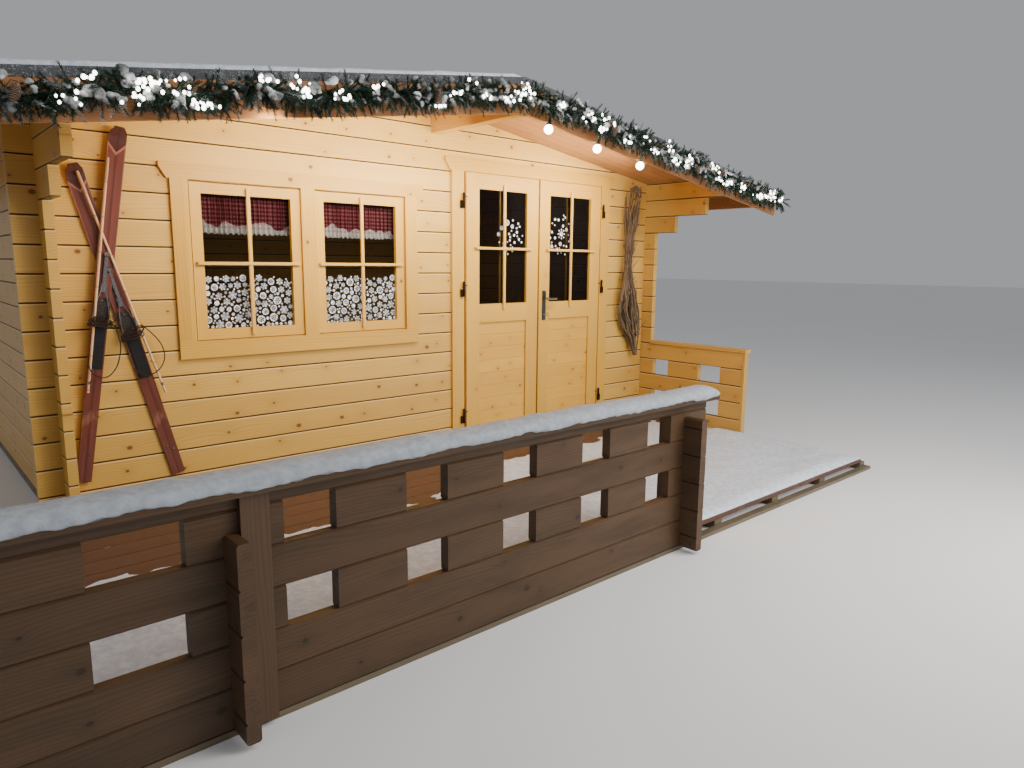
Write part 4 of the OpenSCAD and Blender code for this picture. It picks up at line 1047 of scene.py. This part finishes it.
class SnowMaker(bpy.types.Operator):
    """Snow on the roof, on the front railing's cap and ledges, and over the deck"""

    bl_idname = "hut.snow"
    bl_label = "Snow"

    def execute(self, context):
        white = snow_material()
        self.roof(white)
        # The cap's snow gets a dark blue-grey tint: painted shade, as for snow lying out of the light.
        self.cap(snow_material("cap_snow", (0.31, 0.335, 0.37, 1.0)))
        self.ledges(white)
        self.deck(white)
        return {"FINISHED"}

    def roof(self, white):
        xs, ys, bitten_rows = eased(*ROOF_SNOW_X, 0.06), eased(*ROOF_SNOW_Y, 0.07), 6

        def spot(i, j, depth):
            x, y = xs[i], ys[j]
            if j < bitten_rows:
                y += (0.030 * lumps(x * 5.0, y * 5.0, 7.0) + 0.014) * (1 - j / bitten_rows)
            return Vector((x, y, roof_z(x) + depth))

        def top(i, j):
            x, y = xs[i], ys[j]
            rim = min(x - xs[0], xs[-1] - x, y - ys[0], ys[-1] - y)
            wave = lumps(x * 1.7, y * 1.7) * 0.006 + lumps(x * 9, y * 9, 3) * 0.004
            return spot(i, j, rounded(rim / 0.05) * (sizes().roof_snow + wave))

        shape = Shape()
        heightfield(shape, xs, ys, top, lambda i, j: spot(i, j, -0.0005))
        shape.object("roof_snow", white)

    def cap(self, white):
        (x0, y0), (x1, y1), cap_z = CAP
        count, lift = 260, sizes().cap_snow
        profile = (
            (0.006, 0.0), (0.004, 0.4), (0.016, 0.78), (0.036, 0.95), (0.070, 1.0), (0.100, 0.97),
            (0.122, 0.86), (0.136, 0.60), (0.1415, 0.25), (0.1415, -0.15), (0.1390, -0.36), (0.1352, -0.40),
            (0.1352, 0.0))
        points = []
        for k in range(count + 1):
            x = x0 + 0.004 + (x1 - x0 - 0.008) * k / count
            swell = rounded(min(k, count - k) / 4.0)
            wave = 1.0 + 0.16 * lumps(x * 2.1) + 0.13 * lumps(x * 11, 0, 5)
            for m, (back, up) in enumerate(profile):
                rag = 0.004 * lumps(x * 23, m * 0.9, 2)
                z = cap_z - 0.0004 + lift * up * (wave * swell if up > 0 else 0.1 + 0.6 * wave)
                if up < 0:
                    z += rag * 2.4 + 0.010 * lumps(x * 6, 0, 9)
                y = y1 - back + (rag if up > 0.3 else 0.0)
                points.append(Vector((x, min(y, y0 - 0.0006) if back > 0.14 else y, z)))
        shape = Shape()
        shape.add(points, polygon_tube(count + 1, len(profile)))
        shape.object("railing_cap_snow", white)

    def ledges(self, white):
        shape, rng, parts = Shape(), random.Random(3), 12
        front, back = RAIL_Y
        deep = (front + 0.014, front + 0.020, front + 0.030, back - 0.008, back - 0.002)
        for z in (RAIL_Z + LOG_H, RAIL_Z + 3 * LOG_H):
            for left, right in RAIL_GAPS:
                line = [left + 0.002 + (right - left - 0.004) * k / parts for k in range(parts + 1)]
                tall = [max(0.0006, 0.009 + rng.uniform(-0.010, 0.008)) for _ in line]
                heightfield(
                    shape, line, deep,
                    lambda i, j: Vector((line[i], deep[j], z + tall[i] * (0.15, 0.7, 1.0, 1.0, 0.2)[j])),
                    lambda i, j: Vector((line[i], deep[j], z + 0.0002)))
        shape.object("railing_ledge_snow", white)

    def deck(self, white):
        shape = Shape()
        left, right, front, pitch, slope = -3.192, 2.192, -3.4665, 0.028, 0.05
        xs = [left + 0.006 + pitch * k for k in range(192)] + [2.170, 2.180, 2.1875]
        ys = [front, front + 0.001, front + 0.0065] + [front + 0.0215 + pitch * k for k in range(62)]
        under_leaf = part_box("door_right_frame")[0].z - 0.012 - DECK_Z

        def drift(x, y):
            bare_from = -2.36 + 0.46 * max(0.0, min(1.0, (x + 0.6) / 1.4))
            cover = max(-1.4, min(1.0, (bare_from - y) / 0.42))
            n = lumps(x * 2.3, y * 3.1, 1.0) * 0.50 + lumps(x * 8, y * 8, 4.0) * 0.24
            depth = 0.022 * cover + 0.030 * (n + lumps(x * 27, y * 27, 6.0) * 0.08) + 0.004
            edge = min(1.0, max(0.0, (right - x) / slope), max(0.0, (x - left) / slope))
            if x > RAIL_END_X:
                edge = min(edge, max(0.0, (y - front) / slope))
            return depth * math.sqrt(edge) if depth > 0 else depth

        def top(i, j):
            x, y = xs[i], ys[j]
            depth = min(0.046, max(-0.006, drift(x, y)))
            if y > -2.34 and x > -0.55:
                depth = min(depth, under_leaf)
            return Vector((x, y, DECK_Z + depth))

        keep = {}
        for i in range(len(xs) - 1):
            for j in range(len(ys) - 1):
                corners = ((i, j), (i + 1, j), (i + 1, j + 1), (i, j + 1))
                if max(top(*corner).z for corner in corners) > DECK_Z:
                    shape.faces.append(tuple(keep.setdefault(corner, len(keep)) for corner in corners))
        shape.points = [top(*corner) for corner in keep]
        shape.object("deck_snow", white)


def edge_point(x, drop=0.0, out=0.0):
    """A point in front of the fascia, drop below the roof's edge."""
    return Vector((x, FASCIA_Y - out, RIDGE_Z + 0.0182 - SLOPE * abs(x) - drop))


def fir_cone(shape, top, run, tall, wide):
    """A fir cone: rings of short, thick scales around a core."""
    run, side, up = square_axes(run)
    rows, scales = 9, 8
    tube(shape, [top, top + run * tall * 0.93], wide * 0.22)
    for k in range(rows):
        t = (k + 0.5) / rows
        fat = wide / 2 * math.sin(math.pi * (0.12 + 0.80 * t)) ** 0.7
        core = top + run * tall * t
        for a in turns(scales, math.pi * (k % 2) / scales):
            out = side * math.cos(a) + up * math.sin(a)
            half = (up * math.cos(a) - side * math.sin(a)) * fat * 0.42
            shoulder = core + out * fat * 0.75 + run * tall * 0.04
            tip = core + out * fat + run * tall * 0.09
            rim = [core - half * 0.4, core + half * 0.4, shoulder + half, tip, shoulder - half]
            rim += [p + run * 0.0024 for p in rim]
            faces = [(4, 3, 2, 1, 0), (5, 6, 7, 8, 9)]
            shape.add(rim, faces + [(n, (n + 1) % 5, 5 + (n + 1) % 5, 5 + n) for n in range(5)])


class GarlandMaker(bpy.types.Operator):
    """Artificial fir garland along both roof edges, with frost, snow, cones, cable and small lights"""

    bl_idname = "hut.garland"
    bl_label = "Fir garland"

    def execute(self, context):
        fir, white = fir_material(), crust_material()
        glow = glow_material("fairy_glow", (1.0, 0.93, 0.80, 1.0), 9.0)
        cable = plain_material("light_cable", (0.020, 0.045, 0.022), 0.4)
        husk = plain_material("cone_scales", (0.150, 0.085, 0.050), 0.62, bump=0.4,
                              second=(0.34, 0.27, 0.21, 1))
        for side, sign in (("left", -1), ("right", 1)):
            rng = random.Random(21 + sign)

            def spine(s):
                return edge_point(sign * (0.01 + 2.755 * s), 0.092 + 0.014 * math.sin(s * 31.0),
                                  0.052 + 0.010 * math.sin(s * 47.0))

            cones, green, clumps, threads, lights = (Shape() for _ in range(5))
            for x, drop, lean in CONES:
                fir_cone(cones, edge_point(sign * x, drop, 0.088), (lean, -0.15, -1.0), 0.062, 0.038)
            self.needles(green, rng, spine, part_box(f"garland_{side}")[0].y - 0.012)
            self.clumps(clumps, rng, spine)
            tube(threads, [
                spine(k / 149) + Vector((0, -0.030 - 0.012 * math.sin(k * 1.3), 0.045 * math.sin(k * 0.83)))
                for k in range(150)], 0.0016, 5)
            self.bulbs(lights, rng, spine)
            cones.object(f"fir_cones_{side}", husk, slot="garland", smooth=False)
            threads.object(f"light_cable_{side}", cable, slot="garland")
            green.object(f"fir_{side}", fir, slot="garland", smooth=False, replaces=[f"garland_{side}"])
            clumps.object(f"garland_snow_{side}", white, slot="garland")
            lights.object(f"fairy_lights_{side}", glow, slot="lamps")
        return {"FINISHED"}

    def needles(self, green, rng, spine, front):
        """Sprigs around the spine, each with a spiral of needles; no tip comes nearer than front."""
        tube(green, [spine(k / 90) for k in range(91)], 0.006, 6)
        needle, count = sizes().needle, 62
        for k in range(sizes().sprigs):
            foot = spine(min((k + rng.random()) / sizes().sprigs, 1.0))
            angle = -rng.gauss(0.95, 0.55) if rng.random() < 0.66 else rng.gauss(0.7, 0.5)
            ahead = Vector((math.cos(angle) * rng.choice((-1, 1)), -rng.uniform(-0.1, 0.75),
                            math.sin(angle))).normalized()
            reach, edge = rng.uniform(0.060, 0.120), edge_point(foot.x).z
            if foot.z + ahead.z * reach > edge + 0.004:
                ahead.z *= 0.4
            if foot.z + ahead.z * reach < edge - 0.205:
                ahead.z *= 0.45
            snowy = rng.random() < 0.16
            droop = Vector((0, 0, -0.016 * rng.random()))
            tip = foot + ahead * reach + droop
            tip.y = max(min(tip.y, FASCIA_Y), front)
            tip.x = max(-2.80, min(2.80, tip.x))
            tube(green, [foot, foot.lerp(tip, 0.5) - droop * 0.5, tip], [0.0016, 0.0012, 0.0006], 3)
            run, side, up = square_axes(tip - foot)
            for n in range(count):
                t = 0.12 + 0.88 * (n + rng.random()) / count
                root = foot.lerp(tip, t)
                spin = n * 2.399 + rng.uniform(-0.3, 0.3)
                radial = side * math.cos(spin) + up * math.sin(spin)
                lean = (radial * rng.uniform(0.7, 1.0) + run * 0.75).normalized()
                end = root + lean * needle * rng.uniform(0.7, 1.15) * (1.0 if t < 0.9 else 0.75)
                end.y = min(end.y, FASCIA_Y + 0.0035)
                flat = lean.cross(radial).normalized() * 0.0019
                if snowy:
                    cold = 0.85 if radial.z > -0.2 else 0.3
                else:
                    cold = 0.25 if rng.random() < 0.12 else 0.0
                green.add([root - flat, root + flat, end], [(0, 1, 2)], [cold * 0.4, cold * 0.4, cold])

    def clumps(self, clumps, rng, spine):
        """Half-melted snow in short, drooping chains."""
        for _ in range(120):
            spot = spine(rng.random()) + Vector((0, -rng.uniform(0.010, 0.036), rng.uniform(-0.045, 0.070)))
            fall = Vector((rng.uniform(-1, 1), -rng.uniform(0.0, 0.5), -rng.uniform(0.1, 0.9))).normalized()
            fat = rng.uniform(0.009, 0.021)
            for _ in range(rng.randint(2, 5)):
                stretch = rng.uniform(0.9, 1.3), rng.uniform(0.55, 0.8), rng.uniform(0.7, 0.95)
                ball(clumps, spot, fat, stretch, rng)
                spot = spot + fall * fat * rng.uniform(0.7, 1.0)
                spot.z += rng.uniform(-0.004, 0.004)
                fat *= rng.uniform(0.72, 0.95)

    def bulbs(self, lights, rng, spine):
        """Small lights in loose clusters."""
        spots = []
        while len(spots) < sizes().fairy_lights:
            heart, level = rng.random(), rng.uniform(-0.060, 0.035)
            for _ in range(rng.randint(2, 9)):
                s = min(1.0, max(0.0, heart + rng.gauss(0, 0.0085)))
                spot = spine(s) + Vector((0, -rng.uniform(0.035, 0.066), level + rng.gauss(0, 0.013)))
                edge = edge_point(spot.x).z
                spot.z = max(edge - 0.160, min(edge + 0.006, spot.z))
                spots.append(spot)
        for spot in spots:
            ball(lights, spot, rng.uniform(0.0045, 0.0085), (1, 1, 1.2))


class LampMaker(bpy.types.Operator):
    """The three glowing lamps under the right roof edge, with their sockets"""

    bl_idname = "hut.lamps"
    bl_label = "Hanging lamps"

    def execute(self, context):
        glow = glow_material("lamp_glow", (1.0, 0.90, 0.72, 1.0), 14.0)
        plastic = plain_material("lamp_socket", (0.020, 0.035, 0.024), 0.38, bump=0.2)
        bulbs, sockets, radius = Shape(), Shape(), 0.027
        globe = [(radius * (1 - math.cos(a)), radius * math.sin(a))
                 for a in (0.12 + k * 0.26 for k in range(10))]
        for x, z in LAMPS:
            lathe(bulbs, (x, LAMP_Y, z - radius), (0, 0, 1), globe + [(0.0525, 0.0125)], 24)
            lathe(sockets, (x, LAMP_Y, z + 0.024), (0, 0, 1),
                  [(0.0, 0.0125), (0.002, 0.0165), (0.010, 0.0170), (0.012, 0.0150), (0.028, 0.0145),
                   (0.031, 0.0110), (0.040, 0.0060)])
        bulbs.object("lamp_bulbs", glow, slot="lamps", replaces=["hanging_lamps"])
        sockets.object("lamp_sockets", plastic, slot="garland")
        return {"FINISHED"}


def tilted(lean):
    """Across and along a member that leans to the right by lean degrees."""
    a = math.radians(lean)
    return Vector((math.cos(a), 0, -math.sin(a))), Vector((math.sin(a), 0, math.cos(a)))


def ski_turn(ski):
    """A matrix from ski coordinates (across, out of the face, along) to the hut's."""
    across, along = tilted(ski["lean"])
    turn = Matrix((across, Vector((0, 1, 0)), along)).transposed().to_4x4()
    return Matrix.Translation((ski["tail"][0], ski["face"], ski["tail"][1])) @ turn


class BindingMaker(bpy.types.Operator):
    """Old toe irons, heel plates, spring loops and screws on the two skis"""

    bl_idname = "hut.ski_bindings"
    bl_label = "Ski bindings"

    def execute(self, context):
        bright = plain_material("binding_steel", (0.55, 0.54, 0.52), 0.28, 1.0, speckle=0.8,
                                second=(0.20, 0.13, 0.09, 1), bump=0.3)
        aged = plain_material("toe_plate_steel", (0.16, 0.145, 0.14), 0.42, 0.9, speckle=0.8,
                              second=(0.10, 0.045, 0.028, 1), bump=0.3)
        dark = plain_material("binding_rubber", (0.022, 0.020, 0.020), 0.55, 0.1, bump=0.4)
        spring = plain_material("spring_wire", (0.10, 0.095, 0.09), 0.35, 0.9, scale=900.0)
        upper_cable = (
            (-1.9766, 1.070), (-1.963, 1.010), (-1.958, 0.965), (-1.966, 0.915), (-1.982, 0.868),
            (-2.008, 0.832), (-2.038, 0.816), (-2.068, 0.824), (-2.094, 0.848), (-2.105, 0.885))
        lower_cable = (
            (-1.850, 1.066), (-1.806, 1.020), (-1.768, 0.968), (-1.752, 0.910), (-1.764, 0.858),
            (-1.796, 0.822), (-1.838, 0.808), (-1.872, 0.818), (-1.892, 0.840))
        for name, ski, toe, cable, out in (
                ("upper", UPPER_SKI, 0.842, upper_cable, 0.036),
                ("lower", LOWER_SKI, 0.822, lower_cable, 0.030)):
            turn = ski_turn(ski)
            steel, rubber, wires, plate = Shape(), Shape(), Shape(), Shape()

            def on_ski(s, t, lift=0.0):
                """A point on the ski's face: s up from the tail, t to the right of its middle line."""
                return turn @ Vector((t, -lift, s))

            def block(shape, left, right, low, high, proud, behind, bevel):
                bar(shape, (left, -proud, toe + low), (right, -behind, toe + high), bevel, turn)

            def disc(s, t, lift, profile, sides):
                lathe(steel, on_ski(s, t, lift), (0, -1, 0), profile, sides)

            block(plate, -0.034, 0.034, -0.035, 0.075, 0.0035, 0.0002, 0.0012)
            for side in (-1, 1):
                run = [on_ski(toe + up, side * wide, lift) for up, wide, lift in (
                    (0.150, 0.006, 0.012), (0.100, 0.013, 0.012), (0.045, 0.026, 0.013),
                    (0.0, 0.033, 0.014), (-0.030, 0.036, 0.016))]
                tube(steel, smooth_path(run, 4), 0.0026)
                ear = side * 0.034
                block(steel, ear - 0.0016, ear + 0.0016, -0.03, 0.035, 0.026, 0.0002, 0.001)
            block(steel, -0.008, 0.008, 0.12, 0.285, 0.016, 0.006, 0.003)
            block(steel, -0.013, 0.013, 0.10, 0.145, 0.012, 0.0002, 0.003)
            disc(toe + 0.285, 0.0, 0.011,
                 [(0.0, 0.010), (0.004, 0.013), (0.010, 0.013), (0.014, 0.009)], 16)
            block(rubber, -0.029, 0.029, -0.275, -0.06, 0.006, 0.0002, 0.002)
            for k in range(9):
                level = -0.262 + k * 0.024
                block(rubber, -0.026, 0.026, level, level + 0.010, 0.0085, 0.0055, 0.001)
            for s, t in ((0.16, -0.012), (0.14, 0.014), (toe - 0.02, -0.02), (toe - 0.02, 0.02),
                         (toe + 0.06, 0.0)):
                disc(s, t, 0.0, [(0.0, 0.0045), (0.0040, 0.0045), (0.0052, 0.0030)], 10)
            rng = random.Random(8 + len(name))
            for k in range(7):
                wide, tall = rng.uniform(0.040, 0.062), rng.uniform(0.012, 0.026)
                mid_s, mid_t = toe - 0.045 + rng.uniform(-0.014, 0.014), rng.uniform(-0.010, 0.010)
                tip = rng.uniform(-0.25, 0.25)
                loop = []
                for n in range(29):
                    a = 2 * math.pi * n / 28
                    t = wide * math.cos(a)
                    lift = 0.016 + 0.012 * math.sin(a * 0.5) + 0.0032 * k
                    loop.append(on_ski(mid_s + tall * math.sin(a) + tip * t, mid_t + t, lift))
                tube(wires, loop, 0.0024, 6)
            path = smooth_path([Vector((x, ski["face"] - out, z)) for x, z in cable], 5)
            path[0].y, path[-1].y = ski["face"] - 0.018, ski["face"] - 0.014
            tube(wires, path, 0.0029)
            plate.object(f"{name}_ski_toe_plate", aged, slot="steel", smooth=False)
            steel.object(f"{name}_ski_irons", bright, slot="steel", smooth=False)
            rubber.object(f"{name}_ski_heel_plate", dark, slot="iron", smooth=False)
            wires.object(f"{name}_ski_spring_loops", spring, slot="iron")
        return {"FINISHED"}


class PoleMaker(bpy.types.Operator):
    """Grips and ferrules of the bamboo ski poles"""

    bl_idname = "hut.pole_fittings"
    bl_label = "Ski pole fittings"

    def execute(self, context):
        ferrule = plain_material("ferrule_steel", (0.40, 0.39, 0.37), 0.35, 1.0)
        cork = plain_material("pole_grip", (0.50, 0.30, 0.17), 0.6, bump=0.4, scale=400.0)
        tips, grips = Shape(), Shape()
        for (x, z), lean, y in POLES:
            along, foot = tilted(lean)[1], Vector((x, y, z))
            lathe(tips, foot - along * 0.001, along,
                  [(0.0, 0.0022), (0.010, 0.0046), (0.055, 0.0067), (0.058, 0.0062)], 14)
            lathe(grips, foot + along * (POLE_LENGTH - 0.105), along,
                  [(0.0, 0.0062), (0.003, 0.0072), (0.050, 0.0076), (0.100, 0.0072), (0.108, 0.0058)], 14)
        grips.object("pole_grips", cork, slot="poles")
        tips.object("pole_ferrules", ferrule, slot="steel")
        return {"FINISHED"}


class TwigMaker(bpy.types.Operator):
    """The tied bundle of bent shoots beside the door"""

    bl_idname = "hut.twigs"
    bl_label = "Twig bundle"

    def execute(self, context):
        rng = random.Random(17)
        shape, tie, count = Shape(), Shape(), 30
        middle_y, wall_y, sides = -1.560, -1.5045, (1.775, 2.185)
        spine = ((0.618, 2.050, 0.012), (0.74, 2.020, 0.045), (0.86, 1.975, 0.100), (0.98, 1.945, 0.130),
                 (1.12, 1.932, 0.098), (1.25, 1.922, 0.056), (1.40, 1.917, 0.032), (1.60, 1.925, 0.048),
                 (1.82, 1.945, 0.082), (2.028, 1.957, 0.112))
        bottom, top = spine[0][0], spine[-1][0]

        def centre(z):
            """Where the bundle's middle lies at z, and its radius there."""
            for (za, xa, ra), (zb, xb, rb) in zip(spine, spine[1:]):
                if z <= zb:
                    t = (z - za) / (zb - za)
                    t = t * t * (3 - 2 * t)
                    return xa + (xb - xa) * t, ra + (rb - ra) * t
            return spine[-1][1:]

        def settle(p):
            """Keeps a point off the wall and inside the bundle's width."""
            return Vector((max(sides[0], min(sides[1], p.x)), min(p.y, wall_y), p.z))

        for k in range(sizes().twigs):
            spin = rng.uniform(0, 2 * math.pi)
            reach = math.sqrt(rng.random())
            start = rng.choice((bottom, rng.uniform(0.66, 0.95), rng.uniform(0.8, 1.1)))
            end = rng.uniform(1.75, top) if rng.random() < 0.8 else rng.uniform(1.3, 1.7)
            twist = rng.uniform(-2.4, 2.4)
            path = []
            for n in range(count + 1):
                z = start + (end - start) * n / count
                x, r = centre(z)
                a = spin + twist * (z - 1.4)
                wob = 0.010 * lumps(k * 3.1, z * 6.0)
                y = middle_y + min(r, 0.08) * 0.66 * reach * math.sin(a) + wob * 0.5
                path.append(settle(Vector((x + r * reach * math.cos(a) + wob, y, z))))
            thick = rng.uniform(0.0038, 0.0088) if k > 6 else rng.uniform(0.009, 0.013)
            tube(shape, path, [thick * (1.0 - 0.55 * n / count) for n in range(count + 1)], 7)
            for _ in range(rng.randint(0, 3)):
                n = rng.randint(2, count - 6)
                ahead = (path[n + 1] - path[n]).normalized()
                bend = Vector((rng.uniform(-1, 1), rng.uniform(-0.9, 0.0), rng.uniform(-0.2, 0.5)))
                parts = range(rng.randint(4, 8))
                tube(shape, [settle(path[n] + ahead * (0.02 * m) + bend * (0.012 * m)) for m in parts],
                     [thick * 0.5 * (1 - 0.08 * m) for m in parts], 5)
        for k in range(3):
            arch = hoop((1.957, middle_y - 0.010 * k, 1.935), (0.030 + 0.018 * k, 0, 0),
                        (0, 0, 0.075 + 0.006 * k), 18, math.pi)
            tube(shape, [settle(p) for p in arch], 0.0055, 7)
        for k in range(4):
            loop = hoop((1.919, -1.553, 1.395 + 0.006 * k), (0.036, 0, 0.004 * math.sin(k)),
                        (0, 0.028, 0.004 * math.cos(k)))
            tube(tie, [settle(p) for p in loop], 0.0016, 6)
        shape.object("twigs_beside_door", bark_material(), slot="twigs", replaces=["twig_bundle"])
        tie.object("twig_tie", plain_material("tie_wire", (0.10, 0.07, 0.05), 0.5, 0.4), slot="twigs")
        return {"FINISHED"}


class DoorFittingMaker(bpy.types.Operator):
    """Lock cylinder and key under the lever, the screws of its plate, and the leaves' hinge barrels"""

    bl_idname = "hut.door_fittings"
    bl_label = "Key, screws and hinge barrels"

    def execute(self, context):
        x, y, z = KEY_X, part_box("door_handle_plates")[0].y, KEY_Z
        keys = Shape()
        lathe(keys, (x, y + 0.001, z), (0, -1, 0), [(0.0, 0.0085), (0.006, 0.0085), (0.008, 0.0070)])
        bar(keys, (x - 0.0012, y - 0.030, z - 0.004), (x + 0.0012, y - 0.006, z + 0.004), 0.0004)
        tube(keys, hoop((x, y - 0.040, z), (0, 0.012, 0), (0, 0, 0.012)), 0.0020)
        tube(keys, hoop((x, y - 0.046, z - 0.020), (0, 0, 0.013), (0.010, 0, 0)), 0.0011, 6)
        for level in (z - 0.034, z + 0.164):
            lathe(keys, (x, y + 0.0006, level), (0, -1, 0),
                  [(0.0, 0.0038), (0.0016, 0.0034), (0.0022, 0.0020)], 12)
        nickel = plain_material("key_nickel", (0.62, 0.60, 0.56), 0.24, 1.0)
        keys.object("door_key", nickel, "right_leaf", "steel")
        iron = plain_material("hinge_barrel", (0.055, 0.048, 0.042), 0.38, 0.9, bump=0.3)
        for side, pin_x, way in (("left", 0.207, 1), ("right", 1.622, -1)):
            shape = Shape()
            for z in HINGE_Z:
                lathe(shape, (pin_x, HINGE_Y, z + 0.0006), (0, 0, 1),
                      [(0.0, 0.0044), (0.0, 0.0076), (0.0010, 0.0080), (0.0035, 0.0080), (0.0040, 0.0076),
                       (0.0045, 0.0080), (0.0470, 0.0080), (0.0500, 0.0068), (0.0514, 0.0044)], 28)
                root = Vector((pin_x + way * 0.0070, HINGE_Y + 0.0020, z + 0.026))
                tube(shape, [root + Vector((way * a, b, 0)) for a, b in (
                    (0, 0), (0.012, 0.0035), (0.034, 0.0062))], 0.0024, 10)
            shape.object(f"hinge_barrels_{side}", iron, f"{side}_leaf", "iron",
                         replaces=[f"door_{side}_hinges"])
        return {"FINISHED"}


class HutPanel(bpy.types.Panel):
    """Lists the hut's makers and its sizes and colours"""

    bl_idname = "VIEW3D_PT_market_hut"
    bl_label = "Market Hut"
    bl_space_type = "VIEW_3D"
    bl_region_type = "UI"
    bl_category = "Market Hut"

    def draw(self, context):
        column = self.layout.column(align=True)
        for maker in MAKERS:
            column.operator(maker.bl_idname)
        for group in (context.scene.hut_sizes, context.scene.hut_colours):
            column = self.layout.column(align=True)
            for name in group.__annotations__:
                column.prop(group, name)


MAKERS = (
    StageMaker, FinishMaker, BarMaker, CurtainMaker, FlakeMaker, SnowMaker, GarlandMaker, LampMaker,
    BindingMaker, PoleMaker, TwigMaker, DoorFittingMaker)
CLASSES = (HutSizes, HutColours) + MAKERS + (HutPanel,)


def register():
    for item in CLASSES:
        bpy.utils.register_class(item)
    bpy.types.Scene.hut_sizes = PointerProperty(type=HutSizes)
    bpy.types.Scene.hut_colours = PointerProperty(type=HutColours)


def unregister():
    del bpy.types.Scene.hut_colours
    del bpy.types.Scene.hut_sizes
    for item in reversed(CLASSES):
        bpy.utils.unregister_class(item)


def main():
    register()
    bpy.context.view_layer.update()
    for maker in MAKERS:
        group, name = maker.bl_idname.split(".")
        if getattr(getattr(bpy.ops, group), name)() != {"FINISHED"}:
            raise RuntimeError(f"{maker.bl_label} did not finish")


if __name__ == "__main__":
    main()
